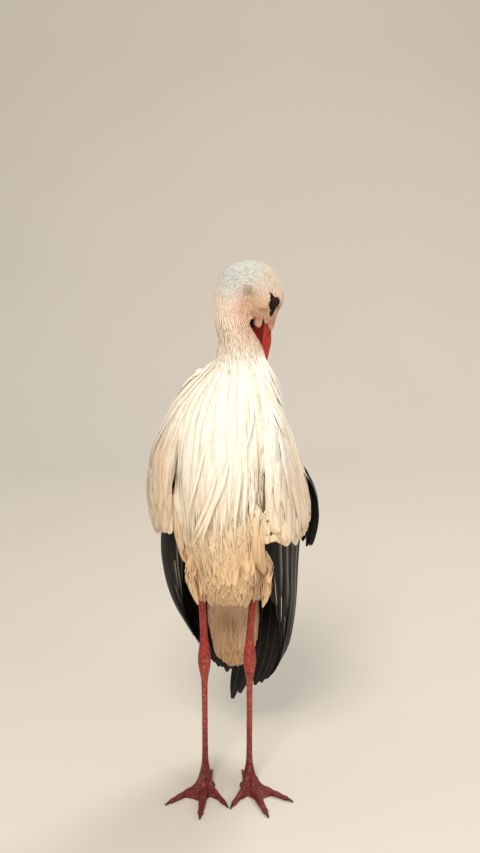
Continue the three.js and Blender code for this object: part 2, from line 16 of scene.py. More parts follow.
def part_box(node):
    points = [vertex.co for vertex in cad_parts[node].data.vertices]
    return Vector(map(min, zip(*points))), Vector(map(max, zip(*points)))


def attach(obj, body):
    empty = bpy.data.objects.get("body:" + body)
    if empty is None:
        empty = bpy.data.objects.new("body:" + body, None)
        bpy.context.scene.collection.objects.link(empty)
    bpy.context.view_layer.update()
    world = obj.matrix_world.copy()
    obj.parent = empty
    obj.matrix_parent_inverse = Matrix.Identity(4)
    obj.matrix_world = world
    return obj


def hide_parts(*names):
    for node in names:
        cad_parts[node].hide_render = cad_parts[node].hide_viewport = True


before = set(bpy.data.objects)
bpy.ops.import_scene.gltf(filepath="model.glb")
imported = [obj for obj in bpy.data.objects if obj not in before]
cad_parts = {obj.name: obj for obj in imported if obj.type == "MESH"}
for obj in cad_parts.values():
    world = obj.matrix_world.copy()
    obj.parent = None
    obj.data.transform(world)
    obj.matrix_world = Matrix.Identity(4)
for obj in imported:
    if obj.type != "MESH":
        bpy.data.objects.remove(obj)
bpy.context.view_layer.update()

MM = 0.001
X, Y, Z = (Vector(axis) for axis in ((1, 0, 0), (0, 1, 0), (0, 0, 1)))


# ---------------------------------------------------------------- places
def middle_of(node):
    """The middle of a node's box."""
    low, high = (Vector(corner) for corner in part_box(node))
    return (low + high) / 2


# The bird is laid out from its left leg, which stands 22 mm left of its midline and 10 mm
# behind the middle of its soles.
LEFT_LEG = (22, 10)
MIDLINE = Vector((middle_of("tarsus_left").x, middle_of("tarsus_left").y, 0)) - Vector((*LEFT_LEG, 0)) * MM


def at(x, y, z):
    """A place in millimetres left of the midline, behind the soles' middle and above the floor."""
    return MIDLINE + Vector((x, y, z)) * MM


HEAD_CENTRE = at(43.5, -12, 748)
HEAD_AXIS = Vector((-0.09, 0.38, -0.92)).normalized()
HEAD_UP = (X - HEAD_AXIS * HEAD_AXIS.x).normalized()
HEAD_LEFT = HEAD_UP.cross(HEAD_AXIS)
ARCH = at(18.5, -14, 750.5)
BILL = {"start": 31, "length": 165, "depth": 27, "width": 21, "drop": 2, "lower": 0.985, "tip": 0.13}
EYE = {"along": -4.6, "above": 9.0, "out": 15.2, "radius": 7.6}


def on_head(along, up, left):
    """A place on the head: millimetres towards the bill, towards the crown and to its left."""
    return HEAD_CENTRE + (HEAD_AXIS * along + HEAD_UP * up + HEAD_LEFT * left) * MM


def head_spoke(turn):
    """The way out from the head's line: turn runs from its left over its crown."""
    return HEAD_LEFT * math.cos(turn) + HEAD_UP * math.sin(turn)


BILL_ROOT = on_head(BILL["start"], 0, 0)


def lerp(a, b, t):
    """The value at share t of the way from a to b."""
    return a + (b - a) * t


def ease(low, high, value):
    """0 at low, 1 at high and smooth between; low may be above high."""
    t = min(1, max(0, (value - low) / (high - low)))
    return t * t * (3 - 2 * t)


def curve_through(knots):
    """A smooth function through (input, value) knots; a value may be a number or a tuple."""
    inputs = [knot[0] for knot in knots]
    values = [np.atleast_1d(np.array(knot[1], float)) for knot in knots]
    last = len(knots) - 1
    slopes = []
    for i in range(last + 1):
        a, b = max(0, i - 1), min(last, i + 1)
        slopes.append((values[b] - values[a]) / (inputs[b] - inputs[a]))

    def value(x):
        x = min(max(x, inputs[0]), inputs[-1])
        i = max(k for k in range(last) if inputs[k] <= x)
        h = inputs[i + 1] - inputs[i]
        t = (x - inputs[i]) / h
        bend = (2 * t**3 - 3 * t**2 + 1) * values[i] + (t**3 - 2 * t**2 + t) * h * slopes[i]
        bend = bend + (3 * t**2 - 2 * t**3) * values[i + 1] + (t**3 - t**2) * h * slopes[i + 1]
        return bend if bend.size > 1 else float(bend[0])

    return value


def path_through(knots):
    """A smooth path through places in millimetres, as a function of the share of the way."""
    return curve_through([(k / (len(knots) - 1), place) for k, place in enumerate(knots)])


# ---------------------------------------------------------------- meshes
def new_object(name, mesh):
    """A new object in the scene, at the origin."""
    made = bpy.data.objects.new(name, mesh)
    bpy.context.scene.collection.objects.link(made)
    return made


def mesh_of(name, points, faces, smooth=True):
    """A mesh from points and faces."""
    mesh = bpy.data.meshes.new(name)
    mesh.from_pydata([tuple(p) for p in points], [], faces)
    mesh.validate()
    mesh.shade_smooth() if smooth else mesh.shade_flat()
    return mesh


def applied(obj):
    """The object's mesh with its modifiers applied, and the object left without them."""
    evaluated = obj.evaluated_get(bpy.context.evaluated_depsgraph_get())
    mesh = bpy.data.meshes.new_from_object(evaluated)
    obj.modifiers.clear()
    old, obj.data = obj.data, mesh
    bpy.data.meshes.remove(old)
    return obj


def vertex_array(mesh, what="co"):
    """The mesh's points, or its points' normals, one row each."""
    values = np.empty(len(mesh.vertices) * 3)
    if what == "co":
        mesh.vertices.foreach_get("co", values)
    else:
        mesh.vertex_normals.foreach_get("vector", values)
    return values.reshape(-1, 3)


def triangles(obj):
    """How many triangles an object has."""
    return sum(len(face.vertices) - 2 for face in obj.data.polygons)


def loft(rings, caps=True):
    """Points and faces of a closed skin through rings of equal length."""
    count = len(rings[0])
    points = [p for ring in rings for p in ring]
    faces = []
    for r in range(len(rings) - 1):
        for i in range(count):
            j = (i + 1) % count
            a, b = r * count, (r + 1) * count
            faces.append((a + i, a + j, b + j, b + i))
    if caps:
        faces.append(tuple(reversed(range(count))))
        faces.append(tuple(range(len(points) - count, len(points))))
    return points, faces


def ellipse(centre, side, up, half, deep, count=24):
    """A ring of points: half and deep are its half sizes in millimetres along side and up."""
    turns = [2 * math.pi * k / count for k in range(count)]
    return [centre + (side * math.cos(turn) * half + up * math.sin(turn) * deep) * MM for turn in turns]


def outward(mesh):
    """Turns the faces of closed shells out."""
    bm = bmesh.new()
    bm.from_mesh(mesh)
    bmesh.ops.remove_doubles(bm, verts=bm.verts, dist=1e-7)
    bmesh.ops.recalc_face_normals(bm, faces=bm.faces)
    bm.to_mesh(mesh)
    bm.free()
    return mesh


def voxel_skin(obj, grain):
    """The object's closed shells made into one even skin."""
    remesh = obj.modifiers.new("one skin", "REMESH")
    remesh.mode = "VOXEL"
    remesh.voxel_size = grain
    return applied(obj)


# ---------------------------------------------------------------- node helpers
class Maker:
    """Makes the nodes of one tree. What it makes are outputs that its next nodes can take."""

    def __init__(self, tree):
        self.tree = tree

    def feed(self, value, socket):
        """Links an output to a socket, or writes a plain value into it."""
        if isinstance(value, bpy.types.NodeSocket):
            self.tree.links.new(value, socket)
        else:
            socket.default_value = value

    def node(self, kind, inputs=(), **settings):
        """The outputs of a new node, with its inputs given by name or number."""
        made = self.tree.nodes.new(kind)
        for key, value in settings.items():
            setattr(made, key, value)
        for key, value in dict(inputs).items():
            self.feed(value, made.inputs[key])
        return made.outputs

    def first(self, kind, inputs=(), **settings):
        """The first output of a new node."""
        return self.node(kind, inputs, **settings)[0]

    def maths(self, operation, *values):
        return self.first("ShaderNodeMath", enumerate(values), operation=operation)

    def times(self, product, *factors):
        for factor in factors:
            product = self.maths("MULTIPLY", product, factor)
        return product

    def plus(self, a, b):
        return self.maths("ADD", a, b)

    def split(self, vector):
        """The three parts of a vector."""
        return self.node("ShaderNodeSeparateXYZ", {0: vector})

    def joined(self, *parts):
        """A vector from its parts."""
        return self.first("ShaderNodeCombineXYZ", enumerate(parts))

    def place(self):
        """The shaded point in the object's own space."""
        return self.node("ShaderNodeTexCoord")["Object"]

    def kept(self, name):
        """A number kept at the points of the mesh."""
        return self.node("ShaderNodeAttribute", attribute_name=name)["Fac"]

    def ramp(self, value, low, high):
        """0 below low, 1 above high and smooth between; low may be above high."""
        inputs = {"Value": value, "From Min": low, "From Max": high}
        return self.first("ShaderNodeMapRange", inputs, interpolation_type="SMOOTHSTEP")

    def noise(self, place, scale, detail=3.0, roughness=0.55):
        inputs = {"Vector": place, "Scale": scale, "Detail": detail, "Roughness": roughness}
        return self.first("ShaderNodeTexNoise", inputs)

    def mix(self, share, a, b):
        return self.node("ShaderNodeMix", {0: share, 6: a, 7: b}, data_type="RGBA")[2]

    def layered(self, colour, *layers):
        """A colour with others laid over it one by one: (where, how much, which colour)."""
        for mask, share, parts in layers:
            colour = self.mix(self.times(mask, share), colour, rgb(*parts))
        return colour


def new_tree(name, kind, inputs, outputs):
    """An empty node group with sockets of (name, kind, default): its maker and its two ends."""
    tree = bpy.data.node_groups.new(name, kind)
    for direction, sockets in (("INPUT", inputs), ("OUTPUT", outputs)):
        for socket_name, socket_kind, default in sockets:
            socket = tree.interface.new_socket(
                socket_name, in_out=direction, socket_type=f"NodeSocket{socket_kind}"
            )
            if default is not None:
                socket.default_value = default
    make = Maker(tree)
    return make, make.node("NodeGroupInput"), tree.nodes.new("NodeGroupOutput").inputs


def run_tree(obj, tree, **values):
    """Applies a geometry tree to an object, with its named inputs set."""
    modifier = obj.modifiers.new("tree", "NODES")
    modifier.node_group = tree
    keys = {item.name: item.identifier for item in tree.interface.items_tree if item.in_out == "INPUT"}
    for name, value in values.items():
        modifier[keys[name]] = value
    return applied(obj)


# ---------------------------------------------------------------- the skin
FLESH = [
    "trunk", "tail", "head", "neck_lower", "neck_middle", "neck_upper", "thigh_left", "thigh_right",
    "flank_left", "flank_right", "wing_left_coverts", "wing_right_coverts",
]
COAT_DEPTH = {"head": 2.2, "neck": 3.6, "trunk": 5.5, "tail": 4, "thigh": 4, "flank": 2.5, "wing": 3.2}
SKIN_GRAIN = 4 * MM
# Flesh thicker than this sinks by the full depth of its coat.
THICK = 0.03
# Places where the skin lies deeper, under longer feathers: middle, how far round it, how much.
HOLLOWS = [(at(31, -42, 706), 17, 4.5), (at(63, -16, 602), 26, 6.0)]


def search_tree(mesh):
    """A mesh's faces, ready to be looked up by place or by ray."""
    return BVHTree.FromPolygons([v.co for v in mesh.vertices], [face.vertices for face in mesh.polygons])


def flesh_tree():
    """The flesh solids as one search tree, with the node that each face belongs to."""
    points, faces, owner = [], [], []
    for number, node in enumerate(FLESH):
        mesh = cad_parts[node].data
        start = len(points)
        points += [v.co.copy() for v in mesh.vertices]
        faces += [[start + k for k in face.vertices] for face in mesh.polygons]
        owner += [number] * len(mesh.polygons)
    return BVHTree.FromPolygons(points, faces), owner


def neighbour_mean(values, edges, degree):
    """The mean of the values at each point's neighbours."""
    total = np.zeros_like(values)
    np.add.at(total, edges[:, 0], values[edges[:, 1]])
    np.add.at(total, edges[:, 1], values[edges[:, 0]])
    return total / degree[:, None]


def units(vectors):
    """The vectors, each with a length of 1."""
    return vectors / np.maximum(np.linalg.norm(vectors, axis=1, keepdims=True), 1e-9)


class Hide:
    """The bare skin, with the way that feathers lie at each of its points."""

    def __init__(self):
        self.object = self.remeshed()
        mesh = self.object.data
        self.edges = np.empty(len(mesh.edges) * 2, int)
        mesh.edges.foreach_get("vertices", self.edges)
        self.edges = self.edges.reshape(-1, 2)
        degree = np.bincount(self.edges.ravel(), minlength=len(mesh.vertices)).astype(float)
        self.degree = np.maximum(degree, 1)
        tree, owner = flesh_tree()
        points = vertex_array(mesh)
        self.region = [FLESH[owner[tree.find_nearest(Vector(p))[2]]] for p in points]
        self.sink()
        self.comb()

    @staticmethod
    def remeshed():
        """The flesh solids as one even skin."""
        bm = bmesh.new()
        for node in FLESH:
            bm.from_mesh(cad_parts[node].data)
        bmesh.ops.remove_doubles(bm, verts=bm.verts, dist=1e-6)
        mesh = bpy.data.meshes.new("skin")
        bm.to_mesh(mesh)
        bm.free()
        return voxel_skin(new_object("skin", mesh), SKIN_GRAIN)

    def smooth(self, values, passes):
        """The values, evened out between neighbouring points."""
        for _ in range(passes):
            values = 0.5 * values + 0.5 * neighbour_mean(values, self.edges, self.degree)
        return values

    def sink(self):
        """Moves the skin in by the coat's depth, and less where the flesh is thin."""
        mesh = self.object.data
        points, normals = vertex_array(mesh), vertex_array(mesh, "normal")
        own = search_tree(mesh)
        depth = np.empty((len(points), 1))
        for i, (p, n) in enumerate(zip(points, normals)):
            inwards = -Vector(n)
            hit, _, _, gap = own.ray_cast(Vector(p) + inwards * MM, inwards, THICK)
            thickness = gap + MM if hit is not None else THICK
            wanted = COAT_DEPTH[self.region[i].split("_")[0]] * MM
            for middle, radius, more in HOLLOWS:
                wanted += more * MM * math.exp(-(((Vector(p) - middle).length / (radius * MM)) ** 2))
            depth[i] = min(wanted, 0.3 * thickness)
        depth = self.smooth(depth, 4)
        points = self.smooth(points - units(normals) * depth, 3)
        mesh.vertices.foreach_set("co", points.ravel())
        mesh.update()

    def comb(self):
        """Lays the coat: away from the bill, over the arch, down the neck and body."""
        mesh = self.object.data
        points, normals = vertex_array(mesh), vertex_array(mesh, "normal")
        ways = np.array([self.first_way(name, Vector(p)) for name, p in zip(self.region, points)])
        for _ in range(12):
            ways -= normals * np.sum(ways * normals, axis=1, keepdims=True)
            ways = units(self.smooth(units(ways), 1))
        self.points, self.normals, self.ways = points, self.smooth(normals, 2), ways
        self.corners = [tuple(face.vertices) for face in mesh.polygons]
        self.tree = BVHTree.FromPolygons([Vector(p) for p in points], self.corners)

    def first_way(self, region, p):
        """The way that feathers lie in a region, before it is evened out."""
        if region == "head":
            away = (p - BILL_ROOT - HEAD_AXIS * 0.03).normalized()
            return away.lerp(self.round_arch(p), ease(0.745, 0.775, p.z)).normalized()
        if region.startswith("neck"):
            down = Vector((0.14, -0.05, -1)).normalized()
            return down.lerp(self.round_arch(p), ease(0.735, 0.76, p.z)).normalized()
        if region == "tail":
            return Vector((0.03, 0.4, -1)).normalized()
        if region.startswith("thigh"):
            return Vector((0, -0.05, -1)).normalized()
        if region.startswith("wing"):
            return Vector((0, 0.16, -1)).normalized()
        return Vector((0, 0.05, -1)).normalized()

    @staticmethod
    def round_arch(p):
        """The way over the bent neck at a place."""
        spoke = p - ARCH
        spoke.y = 0
        return spoke.cross(Y).normalized()

    def near(self, p):
        """The skin's nearest point to p, the way out of it, the coat's way there and the face."""
        place, _, face, _ = self.tree.find_nearest(p)
        corners = list(self.corners[face])
        gaps = self.points[corners] - np.array(place)
        weights = 1 / (np.einsum("ij,ij->i", gaps, gaps) + 1e-7)
        out = Vector(weights @ self.normals[corners]).normalized()
        way = Vector(weights @ self.ways[corners])
        way -= out * way.dot(out)
        return place, out, way.normalized(), face


def unwrapped(obj):
    """An unwrap of the object's own shape, as the map that the coat's patches sit on."""
    obj.data.uv_layers.new(name="coat_roots")
    bpy.context.view_layer.objects.active = obj
    obj.select_set(True)
    bpy.ops.object.mode_set(mode="EDIT")
    bpy.ops.mesh.select_all(action="SELECT")
    bpy.ops.uv.smart_project(angle_limit=math.radians(66), island_margin=0.004)
    bpy.ops.object.mode_set(mode="OBJECT")
    obj.select_set(False)
    values = np.empty(len(obj.data.loops) * 2)
    obj.data.uv_layers["coat_roots"].data.foreach_get("uv", values)
    return values.reshape(-1, 2)


# ---------------------------------------------------------------- growing feathers
# The middle share of a vane that its shaft takes up.
SHAFT_SHARE = 0.08


def feather_tree():
    """Sweeps a flat lens-shaped section along every path, as wide as the path says."""
    inputs = [
        ("Geometry", "Geometry", None),
        ("Sides", "Int", 4),
        ("Thickness", "Float", 0.2),
        ("Camber", "Float", 0.0),
        ("Shaft", "Float", 0.0),
        ("Crowding", "Float", 1.0),
        ("Fray", "Float", 0.0),
        ("Barbs", "Float", 40.0),
        ("Patch", "Vector", (0.0015, 0.003, 0)),
        ("Material", "Material", None),
    ]
    make, given, result = new_tree(
        "Feathers along paths", "GeometryNodeTree", inputs, [("Geometry", "Geometry", None)]
    )

    def named(name, kind="FLOAT"):
        return make.first("GeometryNodeInputNamedAttribute", {"Name": name}, data_type=kind)

    def stored(geometry, name, value, kind, domain="POINT"):
        named_value = {"Geometry": geometry, "Name": name, "Value": value}
        return make.first("GeometryNodeStoreNamedAttribute", named_value, data_type=kind, domain=domain)

    paths = make.first("GeometryNodeMeshToCurve", {0: given["Geometry"]})
    turned = {"Curve": paths, "Normal": named("outward", "FLOAT_VECTOR")}
    paths = make.first("GeometryNodeSetCurveNormal", turned, mode="FREE")
    paths = stored(paths, "heading", make.first("GeometryNodeInputTangent"), "FLOAT_VECTOR")

    # The section: a circle pressed flat, bowed across the vane, with a ridge over the shaft.
    circle = make.first(
        "GeometryNodeCurvePrimitiveCircle", {"Resolution": given["Sides"], "Radius": 1.0}, mode="RADIUS"
    )
    high, wide, _ = make.split(make.first("GeometryNodeInputPosition"))
    crowded = make.maths("POWER", make.maths("ABSOLUTE", wide), given["Crowding"])
    across = make.times(crowded, make.maths("SIGN", wide))
    bowed = make.times(given["Camber"], make.maths("SUBTRACT", 1.0, make.maths("POWER", crowded, 2.0)))
    on_shaft = make.maths("LESS_THAN", crowded, SHAFT_SHARE)
    ridge = make.times(given["Shaft"], make.times(on_shaft, high))
    rise = make.plus(make.times(given["Thickness"], high), make.plus(bowed, ridge))
    pressed = {"Geometry": circle, "Position": make.joined(rise, across)}
    section = make.first("GeometryNodeSetPosition", pressed)
    _, flat_across, _ = make.split(make.first("GeometryNodeInputPosition"))
    section = stored(section, "across", flat_across, "FLOAT")
    swept = {"Curve": paths, "Profile Curve": section, "Scale": named("breadth"), "Fill Caps": True}
    vanes = make.first("GeometryNodeCurveToMesh", swept)

    # Frayed edges: the ends of the barbs are pulled a little along the vane.
    edge = make.maths("POWER", make.maths("ABSOLUTE", named("across")), 3.0)
    barb = make.plus(make.times(named("along"), given["Barbs"]), make.times(named("tone"), 37.0))
    ragged = make.first(
        "ShaderNodeTexNoise", {"W": barb, "Scale": 1.0, "Detail": 1.0}, noise_dimensions="1D"
    )
    pull = make.times(make.maths("SUBTRACT", ragged, 0.5), make.times(edge, given["Fray"]))
    along_vane = {0: named("heading", "FLOAT_VECTOR"), "Scale": pull}
    offset = make.first("ShaderNodeVectorMath", along_vane, operation="SCALE")
    vanes = make.first("GeometryNodeSetPosition", {"Geometry": vanes, "Offset": offset})

    # Each feather's patch on the coat's map.
    spread = {0: make.joined(named("across"), named("along")), 1: given["Patch"]}
    spread = make.first("ShaderNodeVectorMath", spread, operation="MULTIPLY")
    patch = {0: named("root", "FLOAT_VECTOR"), 1: spread}
    patch = make.first("ShaderNodeVectorMath", patch, operation="ADD")
    vanes = stored(vanes, "OFBake", patch, "FLOAT2", "CORNER")
    vanes = make.first("GeometryNodeSetShadeSmooth", {"Geometry": vanes, "Shade Smooth": True})
    vanes = make.first("GeometryNodeRealizeInstances", {"Geometry": vanes})
    vanes = make.first("GeometryNodeSetMaterial", {"Geometry": vanes, "Material": given["Material"]})
    make.feed(vanes, result["Geometry"])
    return make.tree


def root_tree():
    """Even points over the parts of a surface where feathers grow."""
    inputs = [("Geometry", "Geometry", None), ("Spacing", "Float", 0.004), ("Seed", "Int", 0)]
    make, given, result = new_tree(
        "Feather roots", "GeometryNodeTree", inputs, [("Geometry", "Geometry", None)]
    )
    wanted = make.first("GeometryNodeInputNamedAttribute", {"Name": "growth"}, data_type="FLOAT")
    spread = {
        "Mesh": given["Geometry"],
        "Distance Min": given["Spacing"],
        "Density Max": make.maths("DIVIDE", 3.0, make.maths("POWER", given["Spacing"], 2.0)),
        "Density Factor": wanted,
        "Seed": given["Seed"],
    }
    points = make.first("GeometryNodeDistributePointsOnFaces", spread, distribute_method="POISSON")
    make.feed(make.first("GeometryNodePointsToVertices", {0: points}), result["Geometry"])
    return make.tree


class Plumage:
    """A set of feathers with the same number of stations each."""

    def __init__(self, stations):
        self.stations = stations
        self.points, self.outs, self.breadths, self.roots, self.tones = [], [], [], [], []

    def shares(self):
        """Each station's share of a feather's length."""
        return [i / (self.stations - 1) for i in range(self.stations)]

    def add(self, points, outs, breadth, half, root, tone):
        """Adds a feather: its stations, the ways out there, its widths, map place and tone."""
        self.points.append(points)
        self.outs.append(outs)
        self.breadths.append([breadth(t) * half for t in self.shares()])
        self.roots.append(root)
        self.tones.append(tone)

    def plant(self, points, outs, breadth, half, tone):
        """Adds a feather whose root is the skin's nearest place to its first station."""
        place, _, _, face = hide.near(points[0])
        self.add(points, outs, breadth, half, (*map_place(face, place), 0), tone)

    def mesh(self, name):
        """All the feathers' paths as one mesh of edges, with what each station knows."""
        count, k = len(self.points), self.stations
        mesh = bpy.data.meshes.new(name)
        mesh.vertices.add(count * k)
        mesh.vertices.foreach_set("co", np.array(self.points, float).ravel())
        starts = np.arange(count)[:, None] * k + np.arange(k - 1)[None, :]
        edges = np.stack([starts, starts + 1], axis=-1)
        mesh.edges.add(count * (k - 1))
        mesh.edges.foreach_set("vertices", edges.ravel())
        for key, kind, values in (
            ("breadth", "FLOAT", np.array(self.breadths, float)),
            ("outward", "FLOAT_VECTOR", np.array(self.outs, float)),
            ("root", "FLOAT_VECTOR", np.repeat(np.array(self.roots, float), k, axis=0)),
            ("tone", "FLOAT", np.repeat(np.array(self.tones, float), k)),
            ("along", "FLOAT", np.tile(np.linspace(0, 1, k), count)),
        ):
            attribute = mesh.attributes.new(key, kind, "POINT")
            attribute.data.foreach_set("vector" if kind == "FLOAT_VECTOR" else "value", values.ravel())
        return mesh


def grow(name, plumage, material, slot, replaced=(), **shape):
    """Turns a set of feathers into one finished piece."""
    made = new_object(name, plumage.mesh(name))
    run_tree(made, FEATHERS, Material=material, **shape)
    for spare in ("heading", "root", "outward", "breadth"):
        held = made.data.attributes.get(spare)
        if held:
            made.data.attributes.remove(held)
    declare(made, replaced)
    print("piece", name, len(plumage.points), "feathers", triangles(made))


def declare(made, replaced):
    """Says what a finished piece rides on and the nodes that it replaces."""
    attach(made, "root")
    if replaced:
        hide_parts(*replaced)


def spread_roots(growth, spacing, seed):
    """Root places over the skin where growth (one number from 0 to 1 for each point) allows."""
    mesh = hide.object.data.copy()
    attribute = mesh.attributes.new("growth", "FLOAT", "POINT")
    attribute.data.foreach_set("value", np.asarray(growth, float))
    scattered = new_object("roots", mesh)
    run_tree(scattered, ROOTS, Spacing=spacing * MM, Seed=seed)
    places = [Vector(p) for p in vertex_array(scattered.data)]
    bpy.data.objects.remove(scattered)
    return places


def map_place(face, place):
    """Where a point of the skin lies on its unwrap."""
    polygon = hide.object.data.polygons[face]
    corners = [Vector(hide.points[v]) for v in polygon.vertices]
    weights = [1 / max((place - corner).length_squared, 1e-12) for corner in corners]
    total = sum(weights)
    spots = [corner_maps[k] for k in polygon.loop_indices]
    return sum(w * spot for w, spot in zip(weights, spots)) / total


def lay(root, length, stations, stand, drift=None, hang=None, droop=0.3, wander=0.0, rng=random):
    """Stations of a feather that grows at root and follows the lie of the coat.

    stand(t) is its height over the skin in millimetres at t of its length. drift bends its way.
    Past t = hang, or where the skin turns under, it leaves the skin and goes straight on.
    """
    here, out, way, face = hide.near(root)
    root_spot = map_place(face, here)
    turn = Matrix.Rotation(rng.gauss(0, wander), 3, out) if wander else None
    step = length * MM / (stations - 1)
    points, outs, loose = [], [], False
    for i in range(stations):
        t = i / (stations - 1)
        points.append(here + out * stand(t) * MM)
        outs.append(out)
        if turn:
            way = turn @ way
        if drift is not None:
            way = (way + drift * t).normalized()
        loose = loose or (hang is not None and t >= hang)
        if loose:
            way = (way - Z * droop).normalized()
        ahead = here + way * step
        if loose:
            here = ahead
            continue
        place, next_out, next_way, _ = hide.near(ahead)
        if next_out.z < -0.45 or (place - ahead).length > 2.5 * step:
            loose = True
            here = ahead
            continue
        here, out, way = place, next_out, next_way
    return points, outs, (*root_spot, 0)


# Breadths along a feather, as shares of its greatest half width.
def soft_breadth(t):
    """A silky contour feather."""
    return (0.45 + 0.55 * ease(0, 0.3, t)) * max(0.0, 1 - t**2.6) ** 0.7 + 0.02


def hair_breadth(t):
    """A fine short feather of the head and neck."""
    return (0.35 + 0.65 * ease(0, 0.25, t)) * (1 - t) ** 0.55 + 0.02


def plume_breadth(t):
    """A long plume that thins from its middle on."""
    return (0.3 + 0.7 * ease(0, 0.35, t)) * (1 - ease(0.45, 1.08, t)) + 0.015


def lock_breadth(t):
    """A lock of plumes, pointed at its end."""
    return (0.3 + 0.7 * ease(0, 0.3, t)) * (1 - ease(0.58, 1.03, t)) + 0.015


def round_breadth(t):
    """A broad feather with a round end."""
    end = max(0, (t - 0.62) / 0.385) ** 2.2
    return (0.4 + 0.6 * ease(0, 0.4, t)) * math.sqrt(max(0.0, 1 - end)) + 0.01


def pointed_breadth(t):
    """A primary: a quill that narrows towards its end."""
    return quill_breadth(t) * (1 - 0.34 * ease(0.6, 1.0, t))


def quill_breadth(t):
    """A flight feather with a blunt round end."""
    end = max(0, (t - 0.86) / 0.145) ** 2
    return (0.55 + 0.45 * ease(0, 0.3, t)) * math.sqrt(max(0.0, 1 - end)) + 0.01


# ---------------------------------------------------------------- materials
def rgb(red, green, blue):
    """A colour as seen on a screen, in the linear light that shaders work in."""
    linear = [c / 12.92 if c <= 0.04045 else ((c + 0.055) / 1.055) ** 2.4 for c in (red, green, blue)]
    return (*linear, 1)


def coat_colour_and_shade_group():
    """The colour of the white coat over the whole bird, the same on the skin and on the feathers, with
    painted shade and painted warm and cool light laid into it.
    """
    make, _, result = new_tree("Coat colour and painted shade", "ShaderNodeTree", [], [("Colour", "Color", None)])
    place = make.place()
    x, y, z = make.split(place)
    patchy = make.noise(place, 14.0, 4.0)
    shifted = make.maths("MULTIPLY_ADD", patchy, 0.09, -0.045)
    height, depth = make.plus(z, shifted), make.plus(y, shifted)
    side = make.maths("ABSOLUTE", make.plus(x, shifted))

    def near(centre, far, close):
        """1 within close metres of a place and 0 beyond far."""
        gap = make.node("ShaderNodeVectorMath", {0: place, 1: tuple(centre)}, operation="DISTANCE")["Value"]
        return make.ramp(gap, far, close)

    def where(first, first_ends, second, second_ends):
        """Where two ramps both run high."""
        return make.times(make.ramp(first, *first_ends), make.ramp(second, *second_ends))

    # The cream of the lower body is partly soiling and partly painted shade with warm light reflected from
    # the ground.
    bright, cream = rgb(0.985, 0.965, 0.92), rgb(0.965, 0.885, 0.76)
    # Painted shade on the shoulders.
    shoulders = where(side, (0.052, 0.09), height, (0.69, 0.65))
    # Painted shade on the outer faces of the wings.
    shaded_outer_wings = where(side, (0.062, 0.10), height, (0.62, 0.52))
    # Under the tail: partly soiling, partly painted shade.
    under_tail_soil_and_shade = where(height, (0.335, 0.28), depth, (-0.01, 0.06))
    back = where(depth, (0.03, 0.12), height, (0.35, 0.42))
    # Painted shade between the thighs, under the tail.
    shade_between_thighs = near(at(2, 48, 262), 0.052, 0.012)
    # Face, cheeks and throat: painted warm light reflected from the ground onto the underside of the head.
    face = near(on_head(22, -4, -14), 0.066, 0.016)
    forehead = near(on_head(-46, 16, 0), 0.045, 0.01)
    # Cheeks: a brighter patch of the same painted warm light.
    cheeks = near(on_head(29, 3, -9), 0.029, 0.013)
    throat = near(at(17, -40, 735), 0.026, 0.004)
    # crown: painted shade with cool sky light on the top of the head.
    neck, crown = make.ramp(height, 0.66, 0.70), make.ramp(height, 0.735, 0.79)
    colour = make.layered(
        # Cream lower down, deepest on the belly: partly soiling, partly painted shade and warm light
        # reflected from the ground.
        make.mix(make.ramp(height, 0.55, 0.46), bright, cream),
        (make.ramp(height, 0.49, 0.38), 1.0, (0.96, 0.81, 0.62)),
        # Painted shade on the shoulders.
        (shoulders, 0.8, (0.88, 0.85, 0.80)),
        # Painted shade on the outer faces of the wings.
        (shaded_outer_wings, 0.8, (0.88, 0.765, 0.62)),
        # Under the tail: partly soiling, partly painted shade.
        (under_tail_soil_and_shade, 0.8, (0.73, 0.54, 0.385)),
        # Painted shade between the thighs, under the tail.
        (shade_between_thighs, 0.75, (0.60, 0.43, 0.30)),
        (back, 0.7, (0.94, 0.90, 0.83)),
        (neck, 0.75, (0.915, 0.825, 0.74)),
        # Painted warm reflected light on the face, cheeks and throat.
        (face, 0.85, (0.89, 0.725, 0.59)),
        # Painted shade with cool sky light on the crown.
        (crown, 0.9, (0.775, 0.81, 0.815)),
        (forehead, 0.75, (0.80, 0.735, 0.64)),
        (cheeks, 0.8, (0.975, 0.765, 0.625)),
        (throat, 0.5, (0.89, 0.69, 0.58)),
        (patchy, 0.08, (0.86, 0.77, 0.64)),
    )
    make.feed(colour, result["Colour"])
    return make.tree


def barbs_group():
    """Fine slanting lines on a vane, from its shaft outwards."""
    inputs = [("Count", "Float", 60.0), ("Slant", "Float", 0.12)]
    make, given, result = new_tree("Barbs", "ShaderNodeTree", inputs, [("Lines", "Float", None)])
    across, along, tone = (make.kept(name) for name in ("across", "along", "tone"))
    off = make.maths("ABSOLUTE", across)
    run = make.maths("SUBTRACT", along, make.times(off, given["Slant"]))
    run = make.times(run, given["Count"])
    fine = make.joined(run, make.times(tone, 31.0), make.maths("SIGN", across))
    make.feed(make.noise(fine, 1.0, 2.0, 0.7), result["Lines"])
    return make.tree


def grime_group():
    """Faint soiling in patches: a mask, stronger towards the floor."""
    inputs = [("Scale", "Float", 30.0), ("Amount", "Float", 0.3)]
    make, given, result = new_tree("Grime", "ShaderNodeTree", inputs, [("Mask", "Float", None)])
    place = make.place()
    _, _, z = make.split(place)
    spots = make.noise(place, given["Scale"], 6.0, 0.65)
    low = make.plus(make.times(make.ramp(z, 0.5, 0.0), 0.7), 0.3)
    make.feed(make.times(make.ramp(spots, 0.48, 0.75), low, given["Amount"]), result["Mask"])
    return make.tree


